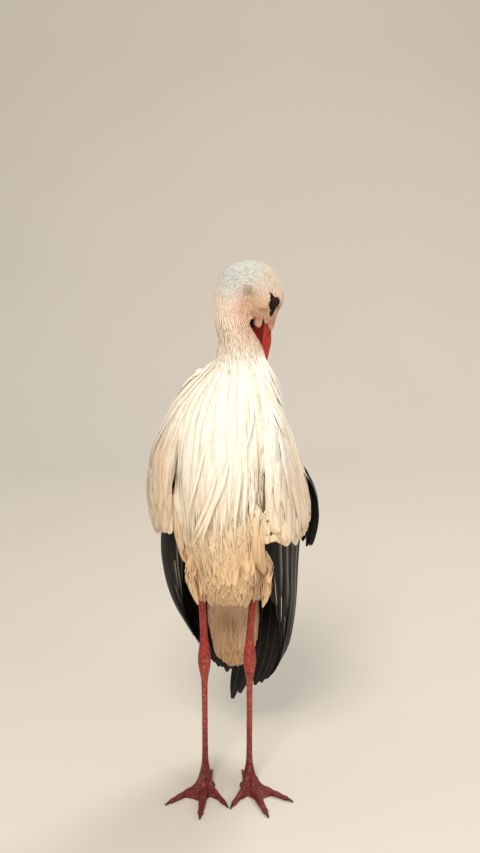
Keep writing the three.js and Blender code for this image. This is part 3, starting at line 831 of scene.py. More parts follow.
def scales_group():
    """Horny scales: raised plates, each with a tint of its own."""
    inputs = [("Scale", "Float", 400.0), ("Stretch", "Vector", (1, 1, 1))]
    outputs = [("Height", "Float", None), ("Tint", "Float", None)]
    make, given, result = new_tree("Horny scales", "ShaderNodeTree", inputs, outputs)
    stretched = {0: make.place(), 1: given["Stretch"]}
    place = make.first("ShaderNodeVectorMath", stretched, operation="MULTIPLY")
    cells = {"Vector": place, "Scale": given["Scale"], "Randomness": 0.8}
    edge = make.first("ShaderNodeTexVoronoi", cells, feature="DISTANCE_TO_EDGE")
    tint = make.node("ShaderNodeTexVoronoi", cells, feature="F1")["Color"]
    make.feed(make.ramp(edge, 0.0, 0.22), result["Height"])
    make.feed(make.first("ShaderNodeSeparateColor", {0: tint}), result["Tint"])
    return make.tree


class Paint(Maker):
    """A new material, and the maker of its nodes."""

    def __init__(self, name, **constants):
        self.material = bpy.data.materials.new(name)
        self.material.use_nodes = True
        super().__init__(self.material.node_tree)
        self.shader = self.tree.nodes["Principled BSDF"]
        for key, value in constants.items():
            self.shader.inputs[key.replace("_", " ")].default_value = value

    def group(self, tree, **values):
        """The outputs of a node group."""
        made = self.tree.nodes.new("ShaderNodeGroup")
        made.node_tree = tree
        for key, value in values.items():
            made.inputs[key].default_value = value
        return made.outputs

    def grime(self, scale, amount):
        return self.group(GRIME, Scale=scale, Amount=amount)["Mask"]

    def finish(self, colour, rough=(), bump=()):
        """Links it all: rough is (what, times, plus) and bump is (height, distance, strength)."""
        self.feed(colour, self.shader.inputs["Base Color"])
        if rough:
            self.feed(self.maths("MULTIPLY_ADD", *rough), self.shader.inputs["Roughness"])
        if bump:
            inputs = dict(zip(("Height", "Distance", "Strength"), bump))
            self.feed(self.first("ShaderNodeBump", inputs), self.shader.inputs["Normal"])
        return self.material


def white_feather_material(name, tint=None, share=0.0, count=60.0, contrast=0.12):
    """White or cream plumage: the body's colour with its painted shade and light, with barbs, deeper roots
    and some grime.
    """
    sheen = {"Sheen_Weight": 0.25, "Sheen_Roughness": 0.5, "Sheen_Tint": rgb(1.0, 0.96, 0.9)}
    paint = Paint(name, Specular_IOR_Level=0.25, **sheen)
    lines = paint.group(BARBS, Count=count)["Lines"]
    colour = paint.group(COAT_COLOUR_AND_SHADE)["Colour"]
    if tint:
        colour = paint.mix(share, colour, rgb(*tint))
    colour = paint.layered(
        colour,
        (paint.kept("tone"), 0.16, (0.87, 0.775, 0.64)),
        (paint.ramp(paint.kept("along"), 0.5, 0.0), 0.12, (0.78, 0.70, 0.60)),
        (paint.ramp(lines, 0.5, 0.25), contrast, (0.62, 0.54, 0.45)),
        (paint.grime(22.0, 0.3), 1.0, (0.66, 0.55, 0.42)),
    )
    return paint.finish(colour, (lines, 0.2, 0.62), (lines, 0.00025, 0.5))


def black_feather_material():
    """Glossy black flight feathers: pale thin shafts and a grey edge along some of the vanes, both brightened
    into painted highlights on some feathers.
    """
    paint = Paint("black flight feathers", Specular_IOR_Level=0.24)
    lines = paint.group(BARBS, Count=150.0, Slant=0.05)["Lines"]
    tone, along, across = (paint.kept(name) for name in ("tone", "along", "across"))
    # A painted highlight: a pale glint along the outer edge of some vanes, away from their ends.
    edge_glint = paint.times(
        paint.ramp(across, 0.55, 1.0), paint.ramp(tone, 0.45, 0.9), paint.ramp(along, 1.0, 0.6)
    )
    # Shafts: faintly pale on every feather, and on some feathers brightened into a painted highlight.
    shaft = paint.ramp(paint.maths("ABSOLUTE", across), 0.075, 0.035)
    paleness = paint.plus(0.1, paint.ramp(tone, 0.55, 0.62))
    colour = paint.layered(
        paint.mix(paint.ramp(lines, 0.3, 0.7), rgb(0.012, 0.011, 0.014), rgb(0.045, 0.042, 0.05)),
        (edge_glint, 0.6, (0.62, 0.58, 0.54)),
        (shaft, paleness, (0.86, 0.80, 0.72)),
        (paint.ramp(along, 0.9, 1.0), 0.3, (0.20, 0.16, 0.14)),
        (paint.grime(18.0, 0.12), 1.0, (0.34, 0.29, 0.25)),
    )
    return paint.finish(colour, (lines, 0.25, 0.34), (lines, 0.0003, 0.6))


def skin_material():
    """Bare skin between the feathers: the coat's own colour with its painted shade and light, a little deeper
    and pinker.
    """
    paint = Paint("skin under feathers", Specular_IOR_Level=0.2)
    grain = paint.noise(paint.place(), 500.0)
    colour = paint.mix(0.12, paint.group(COAT_COLOUR_AND_SHADE)["Colour"], rgb(0.85, 0.72, 0.62))
    colour = paint.layered(colour, (grain, 0.12, (0.70, 0.60, 0.52)))
    return paint.finish(colour, (grain, 0.15, 0.8), (grain, 0.0004, 0.5))


def face_skin_material():
    """Bare black skin round the eye, wrinkled, with a warmer rim at the lids."""
    paint = Paint("bare face skin", Specular_IOR_Level=0.16)
    place = paint.place()
    grain, folds = paint.noise(place, 900.0, 4.0), paint.noise(place, 260.0, 2.0)
    from_lid = paint.kept("along")
    colour = paint.layered(
        paint.mix(folds, rgb(0.06, 0.022, 0.018), rgb(0.155, 0.065, 0.05)),
        (paint.ramp(from_lid, 0.22, 0.02), 0.55, (0.30, 0.11, 0.08)),
        (paint.ramp(from_lid, 0.8, 1.0), 0.4, (0.28, 0.16, 0.13)),
    )
    folds_and_grain = paint.plus(paint.times(folds, 1.5), grain)
    return paint.finish(colour, (grain, 0.3, 0.46), (folds_and_grain, 0.0004, 0.8))


def eye_material():
    """A dark brown iris with fine spokes round a black pupil, under a wet clear coat."""
    paint = Paint("eye", Coat_Weight=0.3, Coat_Roughness=0.03, Roughness=0.2, Specular_IOR_Level=0.1)
    off_gaze = paint.kept("gaze")
    round_iris = paint.times(paint.kept("spin"), 26.0)
    spokes = paint.first(
        "ShaderNodeTexNoise", {"W": round_iris, "Detail": 3.0, "Scale": 1.0}, noise_dimensions="1D"
    )
    colour = paint.layered(
        paint.mix(spokes, rgb(0.07, 0.03, 0.02), rgb(0.20, 0.09, 0.055)),
        (paint.ramp(off_gaze, 0.42, 0.56), 1.0, (0.04, 0.02, 0.016)),
        (paint.ramp(off_gaze, 0.285, 0.255), 1.0, (0.006, 0.006, 0.008)),
        (paint.ramp(off_gaze, 0.60, 0.68), 1.0, (0.20, 0.11, 0.09)),
    )
    return paint.finish(colour)


def bill_material():
    """Red horn: orange-red above and darker below, the darker lower half being painted shade; deeper at the
    tip, with fine cracks along the bill.
    """
    paint = Paint("red horn", Specular_IOR_Level=0.32)
    place = paint.place()
    drawn_out = {"Vector": place, "Scale": (420, 420, 26)}
    streaks = paint.noise(paint.first("ShaderNodeMapping", drawn_out, vector_type="POINT"), 1.0, 4.0, 0.6)
    along, depth, groove = (paint.kept(name) for name in ("along", "depth", "groove"))
    colour = paint.layered(
        # Painted shade: the horn darkens from the top of the upper bill down to the lower bill.
        paint.mix(paint.ramp(depth, -0.15, 0.25), rgb(0.43, 0.055, 0.05), rgb(0.72, 0.185, 0.12)),
        (paint.noise(place, 70.0), 0.5, (0.60, 0.11, 0.08)),
        (paint.ramp(streaks, 0.55, 0.75), 0.25, (0.84, 0.38, 0.27)),
        (paint.ramp(along, 0.10, 0.0), 0.5, (0.45, 0.07, 0.06)),
        (paint.ramp(along, 0.8, 1.0), 0.4, (0.55, 0.12, 0.07)),
        (groove, 1.0, (0.10, 0.02, 0.02)),
        (paint.grime(120.0, 0.35), 1.0, (0.42, 0.25, 0.18)),
    )
    return paint.finish(colour, (streaks, 0.3, 0.24), (streaks, 0.0003, 0.6))


def leg_material():
    """Red leg scales: salmon with pale specks above, darker and duller on the feet."""
    paint = Paint("leg scales", Specular_IOR_Level=0.4)
    place = paint.place()
    _, _, z = paint.split(place)
    scales = paint.group(SCALES, Scale=700.0, Stretch=(1, 1, 0.6))
    blotch = paint.noise(place, 60.0, 4.0)
    paleness = paint.plus(paint.times(paint.ramp(z, 0.02, 0.06), 0.28), 0.1)
    colour = paint.layered(
        paint.mix(paint.ramp(z, 0.02, 0.16), rgb(0.43, 0.08, 0.08), rgb(0.69, 0.27, 0.22)),
        (paint.ramp(z, 0.19, 0.23), 1.0, (0.68, 0.19, 0.15)),
        (paint.ramp(z, 0.03, 0.008), 1.0, (0.38, 0.06, 0.06)),
        (paint.ramp(blotch, 0.45, 0.75), 0.45, (0.50, 0.09, 0.08)),
        (paint.ramp(scales["Tint"], 0.74, 0.98), paleness, (0.88, 0.60, 0.50)),
        (paint.kept("groove"), 0.7, (0.30, 0.05, 0.05)),
        (paint.grime(90.0, 0.7), 1.0, (0.55, 0.42, 0.34)),
    )
    return paint.finish(colour, (blotch, 0.3, 0.38), (scales["Height"], 0.0002, 0.5))


def claw_material():
    """Dark brown horn with soft streaks and some grime."""
    paint = Paint("dark horn", Specular_IOR_Level=0.3)
    streaks = paint.noise(paint.place(), 300.0, 4.0)
    colour = paint.mix(streaks, rgb(0.20, 0.07, 0.06), rgb(0.34, 0.15, 0.12))
    colour = paint.layered(colour, (paint.grime(150.0, 0.6), 1.0, (0.50, 0.42, 0.34)))
    return paint.finish(colour, (streaks, 0.3, 0.3), (streaks, 0.0003, 0.5))


COAT_COLOUR_AND_SHADE, BARBS, GRIME, SCALES = coat_colour_and_shade_group(), barbs_group(), grime_group(), scales_group()
FEATHERS, ROOTS = feather_tree(), root_tree()
WHITE = white_feather_material("white feathers")
PLUME_WHITE = white_feather_material("long white plumes", (0.985, 0.955, 0.90), 0.5, 26.0, 0.16)
DOWN = white_feather_material("fine white feathers", count=14.0, contrast=0.06)
# The cream of the thigh, under-tail and flank feathers is partly soiling and partly painted shade with warm
# light reflected from the ground.
CREAM_SOIL_AND_SHADE = white_feather_material("cream feathers", (0.87, 0.73, 0.56), 0.35, 40.0)
BLACK = black_feather_material()
PALE_SKIN = skin_material()
FACE_SKIN, EYE_WET, RED_HORN = face_skin_material(), eye_material(), bill_material()
LEG_SCALES, DARK_HORN = leg_material(), claw_material()

# ---------------------------------------------------------------- the legs' plan
LEGS = {
    "right": {"x": -44, "knee": -47, "toes": {"outer": -48, "middle": -4, "inner": 31, "hind": 168}},
    "left": {"x": 22, "knee": 27, "toes": {"outer": 56, "middle": 18, "inner": -25, "hind": -166}},
}
TOES = {
    "outer": {"length": 68, "radius": 5.4, "joints": 4},
    "middle": {"length": 78, "radius": 6.0, "joints": 3},
    "inner": {"length": 58, "radius": 5.2, "joints": 2},
    "hind": {"length": 37, "radius": 4.4, "joints": 1},
}
# Millimetres: a claw's length, how far back the legs stand, the grain of their skin, and the
# heights between which the shank leans from above the heel joint towards the knee.
CLAW, LEG_Y, LEG_GRAIN = 10, 10, 0.95
SHANK_ENDS = (229, 330)
SIDES = (("left", 1), ("right", -1))

# ---------------------------------------------------------------- the coat
# How many feathers each of these groups has; of the face, how many are tried.
FACE_TRIES, TUFT_FEATHERS, FRONT_LOCKS = 4700, 110, 44
PRIMARIES, SECONDARIES, GREATER_COVERTS = 15, 15, 9
# The face: the height in millimetres where its edge is looked up at the crown, the steepest slope
# its feathers follow, and how far off the head's line a ray starts that looks in from outside.
FACE_HEIGHT, STEEPEST, OUTSIDE = 13.6, 1.2, 0.06

random.seed(11)
hide = Hide()
corner_maps = unwrapped(hide.object)
REGIONS = np.array([name.split("_")[0] for name in hide.region])
PX, PY, PZ = ((hide.points[:, k] - MIDLINE[k]) / MM for k in range(3))
NY = hide.normals[:, 1]


def tract(plumage, growth, spacing, seed, length, half, stand, breadth, wander=0.03, **ways):
    """Grows feathers over a part of the skin; length and half width may be functions of the root."""
    rng = random.Random(seed)
    for root in spread_roots(growth, spacing, seed):
        size = (length(root) if callable(length) else length) * rng.uniform(0.85, 1.12)
        lift = rng.uniform(0.8, 1.25)
        points, outs, spot = lay(
            root, size, plumage.stations, lambda t: stand(t) * lift, wander=wander, rng=rng, **ways
        )
        wide = (half(root) if callable(half) else half) * rng.uniform(0.85, 1.15) * MM
        plumage.add(points, outs, breadth, wide, spot, rng.random())


def length_above(floor, least, most):
    """A feather length that grows with the root's height above a floor, between two limits."""
    return lambda p: min(most, max(least, (p - MIDLINE).z / MM - floor))


# The bare skin round each eye: how far it reaches from the eye at each angle, in degrees from
# the way of the bill towards the crown.
EYE_PATCH = curve_through([
    (-180, 5.6), (-165, 9.5), (-153, 17.0), (-143, 12.0), (-124, 9.0), (-90, 8.2), (-60, 8.8), (-36, 11.0),
    (-22, 15.0), (-12, 20.5), (-6, 23.5), (-1, 21.0), (5, 14.5), (14, 8.6), (40, 5.6), (90, 5.2),
    (140, 5.4), (180, 5.6),
])


class EyeFrame:
    """Where one eye sits, the way it looks, and the two ways across it."""

    def __init__(self, side):
        self.centre = on_head(EYE["along"], EYE["above"], side * EYE["out"])
        _, out, _, _ = hide.near(self.centre + HEAD_LEFT * side * 0.012)
        self.gaze = (out + HEAD_LEFT * side * 0.9).normalized()
        self.along = (HEAD_AXIS - self.gaze * HEAD_AXIS.dot(self.gaze)).normalized()
        self.up = self.gaze.cross(self.along) * -side

    def flat(self, p):
        """A place as millimetres towards the bill, towards the crown and out along the gaze."""
        away = (p - self.centre) / MM
        return away.dot(self.along), away.dot(self.up), away.dot(self.gaze)

    def place(self, a, b, out=0.0):
        """The place that flat() gives these three numbers for."""
        return self.centre + (self.along * a + self.up * b + self.gaze * out) * MM

    def ground(self, a, b):
        """How far out the skin lies at a place across the eye."""
        hit, _, _, _ = hide.tree.ray_cast(self.place(a, b, 60), -self.gaze)
        return 0.0 if hit is None else self.flat(hit)[2]


EYES = {name: EyeFrame(side) for name, side in SIDES}


def on_eye_patch(p, spare=0.0):
    """Whether a place lies on the bare skin round an eye, or within spare millimetres of it."""
    for frame_of_eye in EYES.values():
        a, b, out = frame_of_eye.flat(p)
        reach = EYE_PATCH(math.degrees(math.atan2(b, a))) + spare
        if out > -8 and a * a + b * b < reach * reach:
            return True
    return False


# Where the feathers of the face end over the root of the bill: millimetres towards the bill, at
# each height from the chin to the crown. They leave a notch at the gape and a lobe on each side.
FACE_EDGE = curve_through([
    (-26, 38), (-17, 40), (-12, 42), (-7.5, 43), (-5, 38), (-3.6, 28), (-2.5, 21.5), (-1.2, 27), (0.5, 33),
    (3, 36), (5.2, 34.5), (6.6, 36), (8.5, 43), (10.5, 46.5), (13.5, 47), (18, 47),
])


def feathered(p, way, out):
    """Whether a feather of the head may grow at p: it keeps off the bare skin and the bill."""
    if out.dot(HEAD_AXIS) > 0.5:
        return False
    along = ((p - HEAD_CENTRE) / MM).dot(HEAD_AXIS)
    off_line = (p - HEAD_CENTRE - HEAD_AXIS * along * MM).length
    if along > 7 and off_line < 20.5 * MM:
        return False
    ahead = (p + way * reach * MM for reach in (4, 7))
    return not (on_eye_patch(p, 0.8) or any(on_eye_patch(place, -0.6) for place in ahead))


def head_coat():
    """Fine short feathers over the head, shortest beside the bill."""
    growth = ((REGIONS == "head") | ((REGIONS == "neck") & (PZ > 728))).astype(float)
    for i in np.flatnonzero(growth):
        growth[i] = feathered(Vector(hide.points[i]), Vector(hide.ways[i]), Vector(hide.normals[i]))
    feathers = Plumage(5)

    def by_bill(far, beside):
        return lambda p: lerp(far, beside, 1 - ease(0.02, 0.05, (p - BILL_ROOT).length))

    tract(
        feathers, growth, 1.2, 1, by_bill(13, 8), by_bill(1.35, 0.9),
        lambda t: 0.25 + 0.6 * t, hair_breadth, wander=0.06,
    )
    grow("coat_head", feathers, DOWN, "white_feathers", Sides=3, Thickness=0.12)


def face_coat(horn):
    """Short plush feathers that grow from the rim of the bill and lie back over the cheeks."""
    rng = random.Random(12)
    horns = [search_tree(piece.data) for piece in horn]

    def surface(along, spoke):
        """How far the skin or the horn lies from the head's line, in millimetres."""
        middle = on_head(along, 0, 0)
        limit = 0.027
        if spoke.dot(HEAD_UP) < -0.3:
            limit = 0.021 if along > 19 else 0.0235
        hit, _, _, flesh = hide.tree.ray_cast(middle, spoke, limit)
        reach = flesh / MM if hit is not None else 0.0
        for tree in horns:
            hit, _, _, _ = tree.ray_cast(middle + spoke * OUTSIDE, -spoke, OUTSIDE)
            if hit is not None:
                reach = max(reach, (hit - middle).dot(spoke) / MM)
        return reach

    def smoothed(along, spoke):
        """The same with its dips filled, where the feathers bridge the edge of the horn."""
        own = surface(along, spoke)
        even = 0.4 * own + 0.3 * (surface(along - 6, spoke) + surface(along + 6, spoke))
        if along > 17:
            return max(own, even)
        ahead = surface(along + 3, spoke) + surface(along + 12, spoke)
        return max(own, even, 0.5 * own + 0.25 * ahead)

    feathers = Plumage(5)
    for _ in range(FACE_TRIES):
        turn = rng.uniform(-math.pi, math.pi)
        spoke, height = head_spoke(turn), FACE_HEIGHT * math.sin(turn)
        rim = FACE_EDGE(height)
        start = rim - (rim + 3) * rng.random() ** 1.1
        rise = lerp(0.45, 1.0, ease(0, 18, start))
        size = rng.uniform(7, 10)
        points, outs = [], []
        for t in feathers.shares():
            along = start - size * t
            reach = smoothed(along, spoke)
            slope = (smoothed(along + 2, spoke) - smoothed(along - 2, spoke)) / 4
            out = (spoke - HEAD_AXIS * min(STEEPEST, max(-STEEPEST, slope))).normalized()
            brow = 2.6 * ease(7, 13, height) * ease(14, 32, along)
            stand = (0.3 + 0.75 * t) * rise + brow
            points.append(on_head(along, 0, 0) + spoke * reach * MM + out * stand * MM)
            if reach < 8 or on_eye_patch(points[-1]) or (outs and out.dot(outs[-1]) < 0.8):
                break
            outs.append(out)
        if len(outs) < 5 or max((b - a).length for a, b in zip(points, points[1:])) > 4 * MM:
            continue
        wide = rng.uniform(0.75, 1.15) * MM
        feathers.plant(points, outs, hair_breadth, wide, rng.random())
    grow("coat_face", feathers, DOWN, "white_feathers", Sides=4, Thickness=0.14)


def neck_coat():
    """Loose narrow feathers, longer and more open towards the breast, like a short mane."""
    growth = (REGIONS == "neck") & (PZ <= 733) | (REGIONS == "trunk") & (PZ > 655)
    feathers = Plumage(7)
    tract(
        feathers, growth, 2.05, 2, lambda p: lerp(42, 22, ease(0.66, 0.735, p.z)), 1.75,
        lambda t: 0.3 + 2.1 * t, plume_breadth, wander=0.03, hang=0.85,
    )
    grow("coat_neck", feathers, DOWN, "white_feathers", Sides=4, Thickness=0.09)


def body_coat():
    """Smooth contour feathers over the breast and belly, with fine silky ones over them."""
    front = (REGIONS == "trunk") & (NY < 0.25) & (PZ < 665)
    length = length_above(296, 20, 44)
    feathers = Plumage(6)
    tract(feathers, front, 6.2, 3, length, 7.5, lambda t: 0.5 + 0.9 * t, round_breadth, wander=0.015)
    grow(
        "coat_belly", feathers, WHITE, "white_feathers", Sides=6, Thickness=0.04, Camber=0.05, Fray=0.003
    )
    soft = Plumage(6)
    tract(
        soft, front & (PZ < 580) & ((NY < -0.1) | (PZ > 400)), 4.2, 4, length, 4.2,
        lambda t: 1.2 + 0.45 * t, soft_breadth, wander=0.02,
    )
    grow("coat_belly_soft", soft, DOWN, "white_feathers", Sides=4, Thickness=0.035)


def mantle():
    """The feathers of the back and shoulders."""
    back = (REGIONS == "trunk") & (NY >= 0.2) & (PZ > 352)
    feathers = Plumage(8)
    tract(feathers, back, 8.0, 5, 46, 10, lambda t: 0.5 + 4.2 * t, round_breadth, wander=0.04)
    grow(
        "coat_mantle", feathers, WHITE, "white_feathers",
        Sides=8, Thickness=0.05, Camber=0.1, Shaft=0.05, Fray=0.004,
    )


def leg_tufts(feathers, rng):
    """The fringe that hangs from each thigh round the top of the bare shank."""
    for leg in LEGS.values():
        for _ in range(TUFT_FEATHERS):
            turn = 2 * math.pi * rng.random()
            way = Vector((math.cos(turn), math.sin(turn), 0))
            top, size = rng.uniform(334, 358), rng.uniform(16, 32)
            points = []
            for t in feathers.shares():
                z = top - size * t
                gap = lerp(14, 7.4, ease(350, 300, z)) + rng.uniform(-0.3, 0.3)
                x = lerp(leg["x"], leg["knee"], ease(*SHANK_ENDS, z))
                points.append(at(x, LEG_Y - 4, z) + way * gap * MM)
            wide = rng.uniform(1.2, 2.2) * MM
            feathers.plant(points, [way] * len(points), plume_breadth, wide, rng.random())


def thigh_and_tail_coat():
    """The loose feathers of the thighs and their fringes, and the soft ones under the tail."""
    legs = Plumage(6)
    tract(
        legs, (REGIONS == "thigh") & (PZ > 322), 3.0, 6, length_above(312, 12, 30), 2.4,
        lambda t: 0.3 + 2.2 * t, hair_breadth, wander=0.03, hang=0.75, droop=0.8,
    )
    leg_tufts(legs, random.Random(61))
    grow("coat_thighs", legs, CREAM_SOIL_AND_SHADE, "cream_feathers", Sides=4, Thickness=0.12)
    under = Plumage(8)
    above_end = np.array([tail_rest(Vector(p)) for p in hide.points])
    tract(
        under, (REGIONS == "tail") & (PZ > 160) & (above_end > 7), 4.4, 7,
        lambda p: min(60, tail_rest(p) / 0.96), 5.2, lambda t: 0.5 + 0.9 * t, soft_breadth, wander=0.012,
    )
    grow("coat_tail", under, CREAM_SOIL_AND_SHADE, "cream_feathers", Sides=6, Thickness=0.035, Camber=0.06, Fray=0.002)


# The round lower edge of the feathers under the tail: its height at each place across, on the
# slanting line from the eye of someone who stands in front of the bird.
TAIL_END = curve_through([
    (-44, 226), (-38, 206), (-33, 191), (-22, 176), (-12, 170), (-3, 168.5), (6, 169), (15, 172.5),
    (24, 188), (31, 206), (38, 232),
])


def tail_rest(p):
    """How far a place under the tail lies above the round edge."""
    x, y, z = (p - MIDLINE) / MM
    return z + 0.5 * (y - 70) - TAIL_END(x)


# ---------------------------------------------------------------- plumes of the breast
# How far round the breast the plumes reach at each height in degrees from the front, and the
# height of their tips from the right side (0) to the left side (1).
PLUME_RIGHT = curve_through([(414, -44), (460, -46), (500, -54), (545, -59), (590, -53), (662, -62)])
PLUME_LEFT = curve_through([(480, 31), (570, 34), (612, 44), (662, 60)])
PLUME_TIPS = curve_through(
    [(0, 560), (0.13, 440), (0.24, 414), (0.4, 466), (0.55, 438), (0.7, 500), (0.85, 556), (1, 606)]
)
# Single long plumes that lie loose on top: where each one's middle line runs, and its half width.
LOOSE_PLUMES = [
    ([(-4, -118, 560), (-16, -124, 520), (-40, -116, 470), (-63, -98, 424)], 4.6),
    ([(-14, -120, 548), (-24, -124, 508), (-40, -118, 462), (-52, -106, 425)], 4.0),
    ([(-22, -118, 540), (-34, -120, 500), (-50, -110, 466), (-61, -98, 438)], 3.4),
    ([(12, -112, 560), (9, -120, 520), (4, -121, 478), (3, -117, 440)], 3.4),
    ([(20, -108, 560), (20, -117, 520), (17, -118, 480), (17, -114, 446)], 3.4),
    ([(22, -76, 650), (30, -98, 620), (29, -114, 592), (17, -122, 562)], 3.2),
    ([(34, -22, 676), (50, -32, 650), (63, -40, 624), (74, -42, 600)], 2.0),
    ([(33, -30, 670), (48, -44, 645), (60, -52, 620), (70, -54, 594)], 2.2),
    ([(30, -40, 664), (45, -54, 640), (56, -62, 616), (64, -66, 590)], 2.2),
    ([(28, -46, 658), (40, -62, 634), (48, -72, 612), (53, -78, 594)], 2.0),
    ([(35, -18, 674), (51, -26, 652), (63, -32, 632), (71, -34, 615)], 1.8),
    ([(36, -14, 668), (52, -20, 648), (65, -26, 628), (74, -30, 609)], 1.8),
    ([(26, -52, 654), (37, -72, 628), (43, -84, 604), (44, -90, 584)], 2.4),
    ([(-30, -92, 590), (-44, -104, 550), (-56, -104, 505), (-66, -94, 470)], 3.4),
]


def loose_plume(feathers, knots, half, tone):
    """A single plume on top: it keeps to its line, but never far from the skin."""
    line = path_through(knots)
    points, outs = [], []
    for t in feathers.shares():
        point = at(*line(t))
        place, out, _, _ = hide.near(point)
        gap, most = (point - place).dot(out), lerp(7, 15, t) * MM
        points.append(point - out * max(0.0, gap - most))
        outs.append(out)
    for _ in range(3):
        between = [(a + b * 2 + c) / 4 for a, b, c in zip(points, points[1:], points[2:])]
        points = [points[0]] + between + [between[-1] * 2 - between[-2]]
    feathers.plant(points, outs, plume_breadth, half * MM, tone)


def breast_plumes():
    """Long soft plumes that fall from the lower neck over the breast and sweep to the right."""
    rng = random.Random(21)
    turn = np.degrees(np.arctan2(PX + 6, -(PY - 2)))
    limits = np.array([(PLUME_RIGHT(z), PLUME_LEFT(z)) for z in PZ])
    inside = (turn > limits[:, 0] + 2) & (turn < limits[:, 1] - 1)
    bare = (REGIONS == "trunk") | (REGIONS == "neck")
    growth = (bare & inside & (PZ > 505) & (PZ < 690)) * np.where(PZ > 560, 1.0, 0.5)
    feathers = Plumage(13)
    for root in spread_roots(growth, 3.8, 22):
        x, y, z = (root - MIDLINE) / MM
        side = math.degrees(math.atan2(x + 6, -(y - 2)))
        right, left = PLUME_RIGHT(z), PLUME_LEFT(z)
        share = min(1, max(0, (side - right) / (left - right)))
        fall = (z - PLUME_TIPS(share)) * rng.uniform(0.66, 1.02)
        size = min(170, max(44, fall * 1.03))
        lift = rng.uniform(1.4, 5.0) * lerp(0.35, 1.0, ease(0.02, 0.3, share))
        sweep = Vector((rng.gauss(-0.022, 0.014), 0, 0))
        points, outs, spot = lay(
            root, size, feathers.stations, lambda t: 0.6 + lift * ease(0, 0.5, t) + 0.8 * t * t,
            drift=sweep, wander=0.01, rng=rng,
        )
        wide = rng.uniform(2.8, 5.2) * MM * lerp(0.8, 1.15, ease(50, 150, size))
        feathers.add(points, outs, lock_breadth, wide, spot, rng.random())
    for knots, half in LOOSE_PLUMES:
        loose_plume(feathers, knots, half, rng.random() * 0.3)
    grow(
        "coat_plumes", feathers, PLUME_WHITE, "white_feathers", ["breast_plumes"],
        Sides=6, Thickness=0.04, Camber=0.09, Fray=0.003, Barbs=60.0,
    )


# ---------------------------------------------------------------- wings
# How each wing's outer face runs round the side of the bird at a height: its front edge, its
# outermost line and its back edge, each as (away from the midline, behind the soles' middle).
COVERTS = {
    "left": [
        (634, (40, -44, 54, -8, 48, 16)),
        (604, (44, -76, 63, 0, 48, 48)),
        (569, (42, -96, 75, 6, 43, 82)),
        (533, (40, -102, 88, 6, 22, 106)),
        (500, (40, -103, 98, 8, 10, 120)),
        (460, (41, -99, 105, 10, 7, 127)),
        (414, (42, -90, 105, 14, 4, 133)),
    ],
    "right": [
        (640, (44, -30, 54, 4, 30, 40)),
        (604, (66, -60, 82, 6, 28, 72)),
        (569, (78, -68, 98, 8, 22, 94)),
        (533, (84, -70, 114, 8, 14, 110)),
        (475, (84, -64, 122, 12, 8, 125)),
        (430, (80, -52, 117, 18, 5, 131)),
        (400, (78, -44, 111, 22, 4, 135)),
    ],
}
FLIGHTS = {
    "left": [
        (490, (40, -54, 96, 18, 6, 110)),
        (420, (38, -40, 97, 26, 4, 126)),
        (354, (42, -14, 94, 42, 3, 139)),
        (282, (50, 26, 91, 62, 3, 145)),
        (202, (52, 72, 84, 92, 2, 148)),
        (150, (44, 104, 73, 118, 1, 150)),
        (110, (30, 126, 56, 134, -5, 151)),
        (70, (14, 140, 34, 144, -10, 152)),
    ],
    "right": [
        (490, (78, -40, 110, 20, 6, 110)),
        (420, (76, -30, 107, 28, 4, 126)),
        (354, (76, -2, 106, 44, 3, 139)),
        (282, (68, 36, 93, 68, 3, 145)),
        (202, (46, 82, 65, 104, 2, 148)),
        (150, (26, 112, 46, 126, 2, 150)),
        (110, (16, 134, 30, 140, 3, 152)),
    ],
}
COVERT_EDGE = {
    "left": [(0, 484), (0.07, 442), (0.2, 421), (0.5, 424), (0.75, 470), (1, 440)],
    "right": [(0, 496), (0.06, 452), (0.2, 425), (0.5, 416), (0.75, 466), (1, 440)],
}
SECONDARY_EDGE = [(0.5, 330), (0.62, 262), (0.8, 214), (1, 196)]
PRIMARY_EDGE = {
    "left": [(0, 352), (0.12, 270), (0.3, 180), (0.5, 127), (0.68, 110), (0.82, 96), (0.93, 76), (1, 84)],
    "right": [(0, 380), (0.12, 300), (0.3, 226), (0.5, 168), (0.7, 140), (0.9, 124), (1, 128)],
}
GREATER_TOP = [(0.5, 496), (0.6, 515), (0.75, 520), (0.86, 496)]
GREATER = {
    "left": (0.5, 0.86, 13.5, [(0.5, 390), (0.6, 372), (0.75, 398), (0.86, 440)]),
    "right": (0.6, 0.86, 5, [(0.6, 404), (0.68, 386), (0.78, 402), (0.86, 440)]),
}


class Wing:
    """The outer face of a folded wing: side is 1 for the left one and -1 for the right one."""

    def __init__(self, rows, side):
        self.side = side
        self.rows = curve_through(sorted(rows))
        self.highest, self.lowest = rows[0][0], rows[-1][0]

    def point(self, u, z, out=0.0):
        """u runs from 0 at the front edge to 1 at the back edge; out stands off the face."""
        front_x, front_y, outer_x, outer_y, back_x, back_y = self.rows(z)
        end_x, end_y = (front_x, front_y) if u < 0.5 else (back_x, back_y)
        angle = abs(1 - 2 * u) * math.pi / 2
        c, s = math.cos(angle), math.sin(angle)
        wide, long = outer_x - end_x, end_y - outer_y
        away = Vector((c * abs(long), s * wide * math.copysign(1, long), 0)).normalized() * out
        return at(self.side * (end_x + wide * c + away.x), outer_y + long * s + away.y, z)

    def normal(self, u, z):
        """The way out of the wing's face."""
        across = self.point(min(u + 0.01, 1), z) - self.point(max(u - 0.01, 0), z)
        down = self.point(u, z - 3) - self.point(u, z + 3)
        return (across.cross(down) * self.side).normalized()

    def girth(self, z):
        """How long the face is round the bird at a height, in millimetres."""
        places = [self.point(k / 16, z) for k in range(17)]
        return sum((b - a).length for a, b in zip(places, places[1:])) / MM


